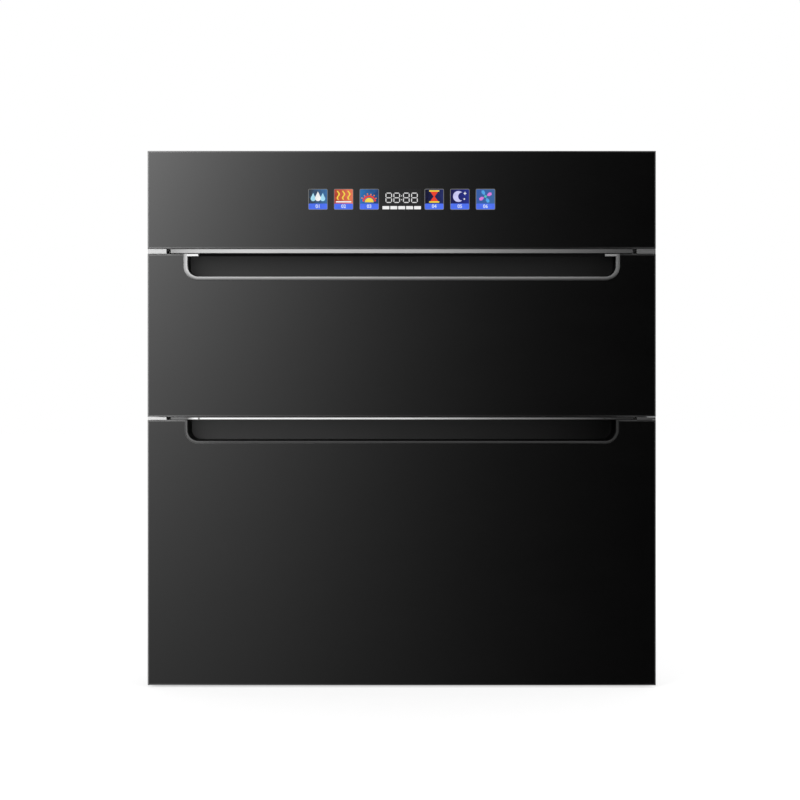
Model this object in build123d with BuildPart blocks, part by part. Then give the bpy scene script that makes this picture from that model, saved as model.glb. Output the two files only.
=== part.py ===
"""Built-in dish sterilizer cabinet with two drawers.

Millimetres, +Z up, the front faces -Y. The origin is under the middle of the cabinet, on the floor.
"""

import os

from build123d import *

os.makedirs("parts", exist_ok=True)

# ---------------------------------------------------------------- driving sizes: the front
front_width = 595.0
floor_gap = 2.4
lower_height = 310.6
lower_gap = 3.7
upper_height = 190.6
upper_gap = 6.2
control_height = 114.5
glass_thickness = 5.0
glass_bevel = 1.0
strip_proud = 1.2

# ---------------------------------------------------------------- driving sizes: the body
body_inset = 20.0
body_height = 600.0
body_depth = 385.0
door_depth = 25.0
seal_gap = 4.0
foot_height = 12.0
grommet_reach = 9.0
casing_sheet = 0.8
frame_sheet = 1.0
liner_sheet = 0.6
chamber_side_space = 15.5
chamber_depth = 356.0
chamber_margin = 15.0
floor_space = 18.0

# ---------------------------------------------------------------- clearances
running_gap = 0.3
fit_gap = 0.1
lens_gap = 0.05

# ---------------------------------------------------------------- depths, front to back
overall_depth = strip_proud + glass_thickness + door_depth + seal_gap + body_depth + grommet_reach
strip_front = -overall_depth / 2
glass_front = strip_front + strip_proud
glass_back = glass_front + glass_thickness
door_back = glass_back + door_depth
body_front = door_back + seal_gap
frame_back = body_front + frame_sheet
chamber_back = frame_back + chamber_depth
body_back = body_front + body_depth

# ---------------------------------------------------------------- heights, bottom to top
lower_bottom = floor_gap
lower_top = lower_bottom + lower_height
upper_bottom = lower_top + lower_gap
upper_top = upper_bottom + upper_height
control_bottom = upper_top + upper_gap
control_top = control_bottom + control_height
body_bottom = foot_height
body_top = body_bottom + body_height
lower_floor = body_bottom + floor_space
lower_ceiling = lower_top - chamber_margin
upper_floor = upper_bottom + chamber_margin
upper_ceiling = upper_top - chamber_margin

body_width = front_width - 2 * body_inset
chamber_width = body_width - 2 * chamber_side_space
front_half = front_width / 2
body_half = body_width / 2
chamber_half = chamber_width / 2


# ---------------------------------------------------------------- the section of every bent wire
wire_sides = 6
wire_turn = 180.0 / wire_sides


# ---------------------------------------------------------------- shared helpers
def facing(y):
    """The sketch plane that faces the front at depth y. Its own axes are X and Z."""
    return Plane.XZ.offset(-y)


def level(z):
    """The horizontal sketch plane at height z."""
    return Plane.XY.offset(z)


def upright(x):
    """The sketch plane across the cabinet at x. Its own axes are Y and Z."""
    return Plane.YZ.offset(x)


def rectangle(left, right, bottom, top, mode=Mode.ADD):
    """A rectangle between four limits of the current sketch."""
    with Locations(((left + right) / 2, (bottom + top) / 2)):
        Rectangle(right - left, top - bottom, mode=mode)


def clipped_rectangle(left, right, bottom, top, clip, mode=Mode.ADD):
    """A rectangle with its corners cut at 45 degrees, between four limits of the current sketch."""
    with BuildSketch(mode=Mode.PRIVATE) as panel:
        Rectangle(right - left, top - bottom)
        chamfer(panel.vertices(), clip)
    with Locations(((left + right) / 2, (bottom + top) / 2)):
        add(panel.sketch, mode=mode)


def bent_sheet(points, thickness, side):
    """The cut face of a sheet that follows the points, with its thickness on one side."""
    with BuildLine() as outline:
        Polyline(*points)
        offset(amount=thickness, side=side, kind=Kind.INTERSECTION)
    make_face(outline.edges())


def wire(points, diameter):
    """A wire with mitred corners through the points, added to the current part."""
    with BuildLine() as route:
        path = Polyline(*points)
    across = Vector(0, 0, 1) if abs((path % 0).Z) < 0.5 else Vector(0, 1, 0)
    start = Plane(origin=path @ 0, x_dir=across, z_dir=path % 0)
    with BuildSketch(start) as section:
        RegularPolygon(radius=diameter / 2, side_count=wire_sides, major_radius=False, rotation=wire_turn)
    sweep(section.sketch, path=route.wire(), transition=Transition.RIGHT)


def write(piece, name):
    """Labels a finished piece and writes it as one node."""
    piece.part.label = name
    export_step(piece.part, f"parts/{name}.step")


def write_weldment(name, *pieces):
    """Writes pieces that are spot-welded face to face as one node of separate solids."""
    group = Compound(label=name, children=[piece.part for piece in pieces])
    export_step(group, f"parts/{name}.step")


# ---------------------------------------------------------------- casing
side_front_flange = 7.0
side_rear_flange = 12.0
pan_flange = 15.0
panel_rear = body_back - casing_sheet
vent_length = 40.0
vent_width = 4.0
vent_pitch = 12.0
side_vents = 9
side_vent_margin = 30.0
side_vent_top = body_top - side_vent_margin
side_vent_y = 90.0

with BuildPart() as right_side_panel:
    with BuildSketch(level(body_bottom + casing_sheet)):
        bent_sheet(
            [
                (body_half - side_front_flange, frame_back),
                (body_half, frame_back),
                (body_half, panel_rear),
                (body_half - side_rear_flange, panel_rear),
            ],
            casing_sheet,
            Side.LEFT,
        )
    extrude(amount=body_height - 2 * casing_sheet)
    with BuildSketch(upright(body_half)):
        with Locations((side_vent_y, side_vent_top - vent_length / 2)):
            with GridLocations(vent_pitch, 0, side_vents, 1):
                Rectangle(vent_width, vent_length)
    extrude(amount=-2 * casing_sheet, mode=Mode.SUBTRACT)
write(right_side_panel, "right_side_panel")

with BuildPart() as left_side_panel:
    mirror(right_side_panel.part, about=Plane.YZ)
write(left_side_panel, "left_side_panel")

pan_half = body_half - casing_sheet
with BuildPart() as base_tray:
    with BuildSketch(facing(panel_rear)):
        rectangle(-body_half, body_half, body_bottom, body_bottom + casing_sheet)
        rectangle(-pan_half, pan_half, body_bottom + casing_sheet, body_bottom + pan_flange)
        rectangle(
            -pan_half + casing_sheet,
            pan_half - casing_sheet,
            body_bottom + casing_sheet,
            body_bottom + pan_flange,
            mode=Mode.SUBTRACT,
        )
    extrude(amount=panel_rear - frame_back)
    with BuildSketch(level(body_bottom + casing_sheet)):
        for end in (frame_back, panel_rear - casing_sheet):
            rectangle(-body_half, body_half, end, end + casing_sheet)
    extrude(amount=pan_flange, mode=Mode.SUBTRACT)
write(base_tray, "base_tray")

top_vent_columns = 14
top_vent_rows = 2
top_vent_y = 120.0
top_vent_row_pitch = 56.0
with BuildPart() as top_panel:
    mirror(base_tray.part, about=Plane.XY.offset((body_bottom + body_top) / 2))
    with BuildSketch(level(body_top)):
        with Locations((0, top_vent_y)):
            with GridLocations(vent_pitch, top_vent_row_pitch, top_vent_columns, top_vent_rows):
                Rectangle(vent_width, vent_length)
    extrude(amount=-2 * casing_sheet, mode=Mode.SUBTRACT)
write(top_panel, "top_panel")

grommet_side_margin = 62.5
grommet_top_margin = 52.0
grommet_x = body_half - grommet_side_margin
grommet_z = body_top - grommet_top_margin
grommet_neck = 10.0
grommet_flange = 15.0
grommet_flange_depth = 3.0
grommet_bore = 4.0
grommet_sides = 16
bead_side_margin = 97.5
bead_foot_margin = 42.0
bead_head_margin = 138.0
bead_x = body_half - bead_side_margin
bead_length = body_height - bead_foot_margin - bead_head_margin
bead_width = 22.0
bead_depth = 3.0
bead_clip = 6.0
bead_z = body_bottom + bead_foot_margin + bead_length / 2
back_vent_columns = 10
back_vent_rows = 2
fan_vents = 5
fan_vent_length = 60.0
fan_x = 0.0
fan_z = (upper_floor + upper_ceiling) / 2
with BuildPart() as back_panel:
    with BuildSketch(facing(body_back)):
        rectangle(-body_half, body_half, body_bottom, body_top)
        with Locations((grommet_x, grommet_z)):
            Circle(grommet_neck + fit_gap, mode=Mode.SUBTRACT)
        with Locations((-grommet_x / 2, grommet_z - vent_length / 2)):
            with GridLocations(vent_pitch, vent_length + vent_pitch, back_vent_columns, back_vent_rows):
                Rectangle(vent_width, vent_length, mode=Mode.SUBTRACT)
        with Locations((fan_x, fan_z)):
            with GridLocations(0, vent_pitch, 1, fan_vents):
                Rectangle(fan_vent_length, vent_width, mode=Mode.SUBTRACT)
    extrude(amount=casing_sheet)
    with BuildSketch(facing(body_back)):
        for x in (-bead_x, bead_x):
            clipped_rectangle(
                x - bead_width / 2,
                x + bead_width / 2,
                bead_z - bead_length / 2,
                bead_z + bead_length / 2,
                bead_clip,
            )
    extrude(amount=-bead_depth)
    with BuildSketch(facing(panel_rear)):
        for x in (-bead_x, bead_x):
            clipped_rectangle(
                x - bead_width / 2 + casing_sheet,
                x + bead_width / 2 - casing_sheet,
                bead_z - bead_length / 2 + casing_sheet,
                bead_z + bead_length / 2 - casing_sheet,
                bead_clip,
            )
    extrude(amount=-bead_depth, mode=Mode.SUBTRACT)
write(back_panel, "back_panel")

with BuildPart() as cable_grommet:
    neck_start = panel_rear - grommet_flange_depth
    for front, radius, length in (
        (neck_start, grommet_neck, body_back + grommet_reach - neck_start),
        (body_back, grommet_flange, grommet_flange_depth),
    ):
        with BuildSketch(facing(front)):
            with Locations((grommet_x, grommet_z)):
                RegularPolygon(radius, grommet_sides)
        extrude(amount=-length)
    with BuildSketch(facing(neck_start)):
        with Locations((grommet_x, grommet_z)):
            Circle(grommet_bore)
    extrude(amount=neck_start - body_back - grommet_reach, mode=Mode.SUBTRACT)
write(cable_grommet, "cable_grommet")

foot_side_margin = 45.5
foot_x = body_half - foot_side_margin
foot_inset = 48.0
foot_radius = 15.0
foot_sides = 16
foot_spots = [
    (x, y)
    for x in (-foot_x, foot_x)
    for y in (body_front + foot_inset, body_back - foot_inset)
]
with BuildPart() as feet:
    with BuildSketch(level(foot_height)):
        with Locations(foot_spots):
            RegularPolygon(radius=foot_radius, side_count=foot_sides)
    extrude(amount=-foot_height)
write(feet, "feet")

# ---------------------------------------------------------------- front frame
frame_side_inset = 4.5
frame_half = front_half - frame_side_inset
frame_top_margin = 6.0
frame_top = control_top - frame_top_margin
frame_corner = 6.0
fixing_inset = 6.5
fixing_x = frame_half - fixing_inset
fixing_low = 70.0
fixing_high_margin = 27.3
fixing_high = upper_top - fixing_high_margin
fixing_hole = 2.25
wiring_half = 28.0
wiring_margin = 12.0
wiring_height = 24.0

with BuildPart() as front_frame:
    with BuildSketch(facing(frame_back)):
        clipped_rectangle(-frame_half, frame_half, body_bottom, frame_top, frame_corner)
        for low, high in ((lower_floor, lower_ceiling), (upper_floor, upper_ceiling)):
            rectangle(-chamber_half, chamber_half, low, high, mode=Mode.SUBTRACT)
        wiring_low = control_bottom + wiring_margin
        rectangle(-wiring_half, wiring_half, wiring_low, wiring_low + wiring_height, mode=Mode.SUBTRACT)
        fixing_spots = [(x, z) for x in (-fixing_x, fixing_x) for z in (fixing_low, fixing_high)]
        with Locations(fixing_spots):
            Circle(fixing_hole, mode=Mode.SUBTRACT)
    extrude(amount=frame_sheet)
write(front_frame, "front_frame")

# ---------------------------------------------------------------- control panel
tile_width = 23.0
tile_height = 24.8
tile_corner = 1.2
tile_pitch = 30.0
tile_first = 38.0
tiles_each_side = 3
lens_thickness = 0.6
clock_width = 46.0
clock_height = 24.8
display_rise = 57.7
display_z = control_bottom + display_rise
tile_spots = [
    (side * (tile_first + step * tile_pitch), display_z)
    for side in (-1, 1)
    for step in range(tiles_each_side)
]


def tile_windows(gap):
    """The six touch tiles, each smaller by the gap all round."""
    half_width, half_height = tile_width / 2 - gap, tile_height / 2 - gap
    for x, z in tile_spots:
        clipped_rectangle(x - half_width, x + half_width, z - half_height, z + half_height, tile_corner)


def clock_window(gap):
    """The clock window, smaller by the gap all round."""
    half_width, half_height = clock_width / 2 - gap, clock_height / 2 - gap
    rectangle(-half_width, half_width, display_z - half_height, display_z + half_height)


with BuildPart() as control_glass:
    with BuildSketch(facing(glass_back)):
        rectangle(-front_half, front_half, control_bottom, control_top)
    extrude(amount=glass_thickness)
    chamfer(control_glass.faces().sort_by(Axis.Y)[0].edges(), glass_bevel)
    with BuildSketch(facing(glass_front)):
        tile_windows(0)
        clock_window(0)
    extrude(amount=-lens_thickness, mode=Mode.SUBTRACT)
write(control_glass, "control_glass")

with BuildPart() as icon_tiles:
    with BuildSketch(facing(glass_front + lens_thickness)):
        tile_windows(lens_gap)
    extrude(amount=lens_thickness)
write(icon_tiles, "icon_tiles")

with BuildPart() as clock_lens:
    with BuildSketch(facing(glass_front + lens_thickness)):
        clock_window(lens_gap)
    extrude(amount=lens_thickness)
write(clock_lens, "clock_lens")

housing_inset = 7.0
housing_margin = 3.0
housing_wall = 2.5
board_thickness = 1.6
touch_board_width = 250.0
touch_board_height = 56.0
board_gap = 6.0
boss_width = 7.0
boss_inset = 10.0
cable_slot_width = 60.0
cable_slot_height = 12.0
touch_board_back = glass_back + board_gap + board_thickness
boss_spots = [
    (x, display_z + z)
    for x in (-touch_board_width / 2 + boss_inset, touch_board_width / 2 - boss_inset)
    for z in (-touch_board_height / 2 + boss_inset, touch_board_height / 2 - boss_inset)
]
housing_half = front_half - housing_inset
housing_low = control_bottom + housing_margin
housing_high = control_top - housing_margin
with BuildPart() as control_housing:
    with BuildSketch(facing(body_front)):
        rectangle(-housing_half, housing_half, housing_low, housing_high)
    extrude(amount=body_front - glass_back)
    with BuildSketch(facing(body_front - housing_wall)):
        rectangle(
            -housing_half + housing_wall,
            housing_half - housing_wall,
            housing_low + housing_wall,
            housing_high - housing_wall,
        )
    extrude(amount=body_front - glass_back, mode=Mode.SUBTRACT)
    with BuildSketch(facing(body_front - housing_wall)):
        with Locations(boss_spots):
            Rectangle(boss_width, boss_width)
    extrude(amount=body_front - housing_wall - touch_board_back)
    with BuildSketch(facing(body_front)):
        with Locations((0, display_z)):
            Rectangle(cable_slot_width, cable_slot_height)
    extrude(amount=housing_wall, mode=Mode.SUBTRACT)
write(control_housing, "control_housing")

led_block_width = 44.0
led_block_height = 18.0
with BuildPart() as touch_board:
    with BuildSketch(facing(touch_board_back)):
        with Locations((0, display_z)):
            Rectangle(touch_board_width, touch_board_height)
    extrude(amount=board_thickness)
    with BuildSketch(facing(touch_board_back - board_thickness)):
        with Locations((0, display_z)):
            Rectangle(led_block_width, led_block_height)
        with Locations(tile_spots):
            Rectangle(tile_width - tile_corner, tile_height - tile_corner)
    extrude(amount=board_gap)
write(touch_board, "touch_board")

# ---------------------------------------------------------------- electronics above the upper chamber
tray_lift = 5.0
tray_z = upper_ceiling + liner_sheet + tray_lift
tray_flange = 12.0
tray_set_back = 2.0
tray_front = frame_back + tray_set_back
with BuildPart() as component_tray:
    with BuildSketch(facing(panel_rear - 2 * casing_sheet)):
        bent_sheet(
            [
                (-pan_half, tray_z + tray_flange),
                (-pan_half, tray_z),
                (pan_half, tray_z),
                (pan_half, tray_z + tray_flange),
            ],
            casing_sheet,
            Side.LEFT,
        )
    extrude(amount=panel_rear - 2 * casing_sheet - tray_front)
write(component_tray, "component_tray")

power_board_width = 170.0
power_board_depth = 110.0
power_board_x = 110.0
power_board_y = 70.0
standoff_height = 8.0
standoff_radius = 3.5
transformer_size = (46.0, 38.0, 34.0)
relay_size = (19.0, 15.0, 15.0)
relay_pitch = 24.0
relays = 4
capacitor_radius = 8.0
capacitor_pitch = 24.0
capacitor_sides = 12
capacitor_height = 25.0
standoff_span_x = power_board_width - 2 * boss_inset
standoff_span_y = power_board_depth - 2 * boss_inset
tray_top = tray_z + casing_sheet
board_bottom = tray_top + standoff_height
with BuildPart() as power_board:
    with BuildSketch(level(tray_top)):
        with Locations((power_board_x, power_board_y)):
            with GridLocations(standoff_span_x, standoff_span_y, 2, 2):
                RegularPolygon(radius=standoff_radius, side_count=6)
    extrude(amount=standoff_height)
    with BuildSketch(level(board_bottom)):
        with Locations((power_board_x, power_board_y)):
            Rectangle(power_board_width, power_board_depth)
    extrude(amount=board_thickness)
    with BuildSketch(level(board_bottom + board_thickness)):
        with Locations((power_board_x - power_board_width / 4, power_board_y + power_board_depth / 5)):
            Rectangle(transformer_size[0], transformer_size[1])
    extrude(amount=transformer_size[2])
    with BuildSketch(level(board_bottom + board_thickness)):
        with Locations((power_board_x, power_board_y - power_board_depth / 3)):
            with GridLocations(relay_pitch, 0, relays, 1):
                Rectangle(relay_size[0], relay_size[1])
    extrude(amount=relay_size[2])
    with BuildSketch(level(board_bottom + board_thickness)):
        with Locations((power_board_x + power_board_width / 4, power_board_y + power_board_depth / 5)):
            with GridLocations(capacitor_pitch, 0, 2, 1):
                RegularPolygon(radius=capacitor_radius, side_count=capacitor_sides)
    extrude(amount=capacitor_height)
write(power_board, "power_board")

switch_width = 24.0
switch_height = 9.0
switch_depth = 8.0
switch_side_margin = 62.0
switch_x = chamber_half - switch_side_margin
with BuildPart() as door_switches:
    with BuildSketch(facing(frame_back + switch_depth)):
        rectangle(switch_x, switch_x + switch_width, tray_top, tray_top + switch_height)
        switch_top = upper_floor - switch_height
        rectangle(switch_x, switch_x + switch_width, switch_top - switch_height, switch_top)
    extrude(amount=switch_depth)
write(door_switches, "door_switches")


# ---------------------------------------------------------------- chamber liners
liner_lip = 6.0
slot_columns = 5
slot_rows = 4
warm_slot_length = 12.0
warm_slot_width = 5.0
warm_slot_pitch = 14.0
tube_side_space = 47.0
tube_x = chamber_half - tube_side_space
tube_low_rise = 80.4
tube_pitch = 120.6
tube_low = lower_floor + tube_low_rise
tube_high = tube_low + tube_pitch
lead_hole = 7.0
lead_reach = 15.0
lead_x = tube_x + lead_reach


def liner_walls(floor, ceiling):
    """Side, floor and ceiling sheets of a chamber, each with its own front lip."""
    half = chamber_half
    with BuildPart() as right_wall:
        with BuildSketch(level(floor)):
            bent_sheet(
                [(half + liner_lip, frame_back), (half, frame_back), (half, chamber_back)],
                liner_sheet,
                Side.RIGHT,
            )
        extrude(amount=ceiling - floor)
    with BuildPart() as left_wall:
        mirror(right_wall.part, about=Plane.YZ)
    with BuildPart() as floor_sheet:
        with BuildSketch(upright(-half - liner_sheet)):
            bent_sheet(
                [(frame_back, floor - liner_lip), (frame_back, floor), (chamber_back, floor)],
                liner_sheet,
                Side.RIGHT,
            )
        extrude(amount=chamber_width + 2 * liner_sheet)
    with BuildPart() as ceiling_sheet:
        mirror(floor_sheet.part, about=Plane.XY.offset((floor + ceiling) / 2))
    return right_wall, left_wall, floor_sheet, ceiling_sheet


def liner_back(floor, ceiling):
    """The sketch of a chamber's back sheet."""
    outer = chamber_half + liner_sheet
    rectangle(-outer, outer, floor - liner_sheet, ceiling + liner_sheet)


with BuildPart() as upper_back:
    with BuildSketch(facing(chamber_back + liner_sheet)):
        liner_back(upper_floor, upper_ceiling)
        with Locations((fan_x, fan_z)):
            with GridLocations(warm_slot_pitch, warm_slot_pitch, slot_columns, slot_rows):
                Rectangle(warm_slot_length, warm_slot_width, mode=Mode.SUBTRACT)
    extrude(amount=liner_sheet)
write_weldment("upper_liner", *liner_walls(upper_floor, upper_ceiling), upper_back)

with BuildPart() as lower_back:
    with BuildSketch(facing(chamber_back + liner_sheet)):
        liner_back(lower_floor, lower_ceiling)
        with Locations([(x, z) for x in (-lead_x, lead_x) for z in (tube_low, tube_high)]):
            Rectangle(lead_hole, lead_hole, mode=Mode.SUBTRACT)
    extrude(amount=liner_sheet)
write_weldment("lower_liner", *liner_walls(lower_floor, lower_ceiling), lower_back)

insulation_thickness = 12.0
insulation_set_back = 8.0
liner_outer = chamber_half + liner_sheet
with BuildPart() as insulation:
    with BuildSketch(facing(chamber_back)):
        outer = liner_outer + insulation_thickness
        rectangle(
            -outer,
            outer,
            lower_floor - liner_sheet - insulation_thickness,
            lower_ceiling + liner_sheet + insulation_thickness,
        )
        rectangle(
            -liner_outer,
            liner_outer,
            lower_floor - liner_sheet,
            lower_ceiling + liner_sheet,
            mode=Mode.SUBTRACT,
        )
    extrude(amount=chamber_depth - insulation_set_back)
write(insulation, "insulation")

# ---------------------------------------------------------------- lower chamber fittings
tube_radius = 6.0
tube_back_gap = 16.0
tube_y = chamber_back - tube_back_gap
holder_half = 9.0
holder_length = 16.0
holder_grip = 10.0
holder_bore_sides = 12
with BuildPart() as heating_tubes:
    with BuildSketch(upright(-tube_x)):
        with Locations((tube_y, tube_low), (tube_y, tube_high)):
            Circle(tube_radius)
    extrude(amount=2 * tube_x)
write(heating_tubes, "heating_tubes")

with BuildPart() as right_holders:
    with BuildSketch(upright(tube_x - holder_grip)):
        for z in (tube_low, tube_high):
            rectangle(tube_y - holder_half, chamber_back, z - holder_half, z + holder_half)
    extrude(amount=holder_length)
    with BuildSketch(upright(tube_x - holder_grip)):
        with Locations((tube_y, tube_low), (tube_y, tube_high)):
            RegularPolygon(tube_radius + fit_gap, holder_bore_sides, major_radius=False)
    extrude(amount=holder_grip + fit_gap, mode=Mode.SUBTRACT)
with BuildPart() as tube_holders:
    add(right_holders.part)
    mirror(right_holders.part, about=Plane.YZ)
write(tube_holders, "tube_holders")

guard_wire = 3.0
guard_rim = 4.0
guard_gap = 32.0
guard_side_space = 27.0
guard_half_width = chamber_half - guard_side_space
guard_bars = 9
guard_below = 40.0
guard_above = 28.0
guard_low = tube_low - guard_below
guard_high = tube_high + guard_above
guard_y = chamber_back - guard_gap
guard_end_margin = 7.0
guard_pitch = 2 * (guard_half_width - guard_end_margin) / (guard_bars - 1)
guard_leg_x = guard_half_width - guard_rim
bar_low = guard_low + guard_rim / 2
bar_high = guard_high - guard_rim / 2
guard_pieces = []
for z in (guard_low, guard_high):
    with BuildPart() as guard_frame:
        wire(
            [
                (-guard_leg_x, chamber_back, z),
                (-guard_leg_x, guard_y, z),
                (guard_leg_x, guard_y, z),
                (guard_leg_x, chamber_back, z),
            ],
            guard_rim,
        )
    guard_pieces.append(guard_frame)
for bar in range(guard_bars):
    x = (bar - (guard_bars - 1) / 2) * guard_pitch
    with BuildPart() as guard_bar:
        wire([(x, guard_y, bar_low), (x, guard_y, bar_high)], guard_wire)
    guard_pieces.append(guard_bar)
write_weldment("tube_guard", *guard_pieces)

probe_radius = 3.0
probe_length = 22.0
probe_nut = 6.0
probe_nut_depth = 4.0
probe_z = (tube_low + tube_high) / 2
with BuildPart() as temperature_probe:
    with BuildSketch(facing(chamber_back)):
        with Locations((0, probe_z)):
            RegularPolygon(radius=probe_nut, side_count=6)
    extrude(amount=probe_nut_depth)
    with BuildSketch(facing(chamber_back - probe_nut_depth)):
        with Locations((0, probe_z)):
            Circle(probe_radius)
    extrude(amount=probe_length - probe_nut_depth)
write(temperature_probe, "temperature_probe")

# ---------------------------------------------------------------- upper chamber fittings
lamp_radius = 8.0
lamp_length = 210.0
lamp_drop = 15.0
lamp_y = 40.0
socket_length = 16.0
socket_width = 22.0
lamp_z = upper_ceiling - lamp_drop
with BuildPart() as uv_lamp:
    with BuildSketch(upright(-lamp_length / 2)):
        with Locations((lamp_y, lamp_z)):
            Circle(lamp_radius)
    extrude(amount=lamp_length)
    with BuildSketch(upright(0)) as socket_face:
        rectangle(lamp_y - socket_width / 2, lamp_y + socket_width / 2, lamp_z, upper_ceiling)
        with Locations((lamp_y, lamp_z)):
            Circle(socket_width / 2)
    extrude(amount=lamp_length / 2 + socket_length, both=True)
    with BuildSketch(upright(0)):
        rectangle(lamp_y - socket_width, lamp_y + socket_width, lamp_z - socket_width, upper_ceiling)
        with Locations((lamp_y, lamp_z)):
            Circle(lamp_radius, mode=Mode.SUBTRACT)
    extrude(amount=lamp_length / 2, both=True, mode=Mode.SUBTRACT)
write(uv_lamp, "uv_lamp")

lamp_guard_half = 18.0
lamp_guard_drop = 30.0
lamp_guard_foot = 10.0
lamp_guard_length = 250.0
lamp_guard_slots = 8
lamp_guard_pitch = 29.0
lamp_guard_slot = 20.0
lamp_guard_slot_width = 14.0
lamp_guard_edge = 5.0
with BuildPart() as uv_lamp_guard:
    with BuildSketch(upright(-lamp_guard_length / 2)):
        bent_sheet(
            [
                (lamp_y - lamp_guard_half - lamp_guard_foot, upper_ceiling),
                (lamp_y - lamp_guard_half, upper_ceiling),
                (lamp_y - lamp_guard_half, upper_ceiling - lamp_guard_drop),
                (lamp_y + lamp_guard_half, upper_ceiling - lamp_guard_drop),
                (lamp_y + lamp_guard_half, upper_ceiling),
                (lamp_y + lamp_guard_half + lamp_guard_foot, upper_ceiling),
            ],
            liner_sheet,
            Side.RIGHT,
        )
    extrude(amount=lamp_guard_length)
    with BuildSketch(level(upper_ceiling - lamp_guard_drop - liner_sheet)):
        with Locations((0, lamp_y)):
            with GridLocations(lamp_guard_pitch, 0, lamp_guard_slots, 1):
                Rectangle(lamp_guard_slot_width, 2 * (lamp_guard_half - lamp_guard_edge))
    extrude(amount=3 * liner_sheet, mode=Mode.SUBTRACT)
    with BuildSketch(facing(lamp_y + 2 * lamp_guard_half)):
        with Locations((0, upper_ceiling - lamp_guard_drop / 2)):
            with GridLocations(lamp_guard_pitch, 0, lamp_guard_slots, 1):
                Rectangle(lamp_guard_slot_width, lamp_guard_slot)
    extrude(amount=4 * lamp_guard_half, mode=Mode.SUBTRACT)
write(uv_lamp_guard, "uv_lamp_guard")

heater_side = 66.0
heater_depth = 10.0
heater_rim = 4.0
heater_fins = 12
heater_fin = 1.0
liner_rear = chamber_back + liner_sheet
heater_back = liner_rear + heater_depth
with BuildPart() as air_heater:
    with BuildSketch(facing(heater_back)):
        with Locations((fan_x, fan_z)):
            Rectangle(heater_side, heater_side)
            Rectangle(heater_side - 2 * heater_rim, heater_side - 2 * heater_rim, mode=Mode.SUBTRACT)
            with GridLocations((heater_side - 2 * heater_rim) / heater_fins, 0, heater_fins - 1, 1):
                Rectangle(heater_fin, heater_side - heater_rim)
    extrude(amount=heater_depth)
write(air_heater, "air_heater")

fan_side = 80.0
fan_depth = 15.0
fan_bore = 36.0
fan_bore_sides = 24
hub_radius = 14.0
hub_sides = 14
blade_tip = 34.5
blades = 7
blade_depth = 9.0
blade_thickness = 1.6
blade_twist = 32.0
blade_sink = 1.0
motor_depth = 4.0
motor_radius = 13.0
motor_sides = 12
strut_width = 5.0
struts = 3
shaft_radius = 2.0
fan_back = heater_back + fan_depth
motor_front = fan_back - motor_depth
with BuildPart() as fan_housing:
    with BuildSketch(facing(fan_back)):
        with Locations((fan_x, fan_z)):
            Rectangle(fan_side, fan_side)
            turn = 180 / fan_bore_sides
            RegularPolygon(fan_bore, fan_bore_sides, major_radius=False, rotation=turn, mode=Mode.SUBTRACT)
    extrude(amount=fan_depth)
write(fan_housing, "fan_housing")

with BuildPart() as fan_motor:
    with BuildSketch(facing(fan_back)):
        with Locations((fan_x, fan_z)):
            RegularPolygon(radius=motor_radius, side_count=motor_sides)
            with PolarLocations(0, struts):
                with Locations((fan_bore / 2, 0)):
                    Rectangle(fan_bore, strut_width)
            Circle(shaft_radius + fit_gap / 2, mode=Mode.SUBTRACT)
    extrude(amount=motor_depth)
write(fan_motor, "fan_motor")

impeller_back = motor_front - running_gap
with BuildPart() as fan_impeller:
    with BuildSketch(facing(impeller_back)):
        with Locations((fan_x, fan_z)):
            RegularPolygon(hub_radius, hub_sides, major_radius=False, rotation=180 / hub_sides)
    extrude(amount=blade_depth)
    with BuildSketch(facing(motor_front + motor_depth / 2)):
        with Locations((fan_x, fan_z)):
            Circle(shaft_radius)
    extrude(amount=motor_depth)
    for blade in range(blades):
        turn = 360 / blades * blade
        root = facing(impeller_back - blade_depth / 2).location * Location((fan_x, fan_z, 0), (0, 0, turn))
        with BuildSketch(Plane(root * Location((hub_radius - blade_sink, 0, 0), (0, 90, 0)))):
            Rectangle(blade_depth - blade_sink, blade_thickness, rotation=blade_twist)
        extrude(amount=blade_tip - hub_radius + blade_sink)
write(fan_impeller, "fan_impeller")

# ---------------------------------------------------------------- telescopic slides
slide_length = 350.0
slide_set_back = 4.0
slide_front = body_front + slide_set_back
slide_sheet = 1.2
slide_width = 12.7
outer_half, outer_reach, outer_lip = 22.5, 10.2, 3.2
middle_half, middle_web, middle_reach, middle_lip = 16.6, 5.0, 11.9, 3.0
inner_half, inner_reach = 11.0, 8.0
ball_strip_length = 120.0


def slide_member(section_points, thickness_side, height, start, length):
    """One rolled member of the right slide, along Y."""
    with BuildPart() as right_member:
        with BuildSketch(facing(start + length)):
            points = [(chamber_half - u, height + v) for u, v in section_points]
            bent_sheet(points, slide_sheet, thickness_side)
        extrude(amount=length)
    return right_member


def ball_strips(height, start):
    """The four ball strips of the right slide: two outside the middle member, two inside it."""
    gap = running_gap
    outer_in = outer_half - slide_sheet
    middle_in = middle_half - slide_sheet
    with BuildPart() as strips:
        with BuildSketch(facing(start + slide_length)):
            for side in (-1, 1):
                low, high = sorted((height + side * (middle_half + gap), height + side * (outer_in - gap)))
                rectangle(
                    chamber_half - outer_reach + slide_sheet + gap,
                    chamber_half - slide_sheet - gap,
                    low,
                    high,
                )
        extrude(amount=ball_strip_length)
        with BuildSketch(facing(start + ball_strip_length)):
            for side in (-1, 1):
                low, high = sorted((height + side * (inner_half + gap), height + side * (middle_in - gap)))
                rectangle(
                    chamber_half - middle_reach + slide_sheet + gap,
                    chamber_half - middle_web - slide_sheet - gap,
                    low,
                    high,
                )
        extrude(amount=ball_strip_length)
    return strips


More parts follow.
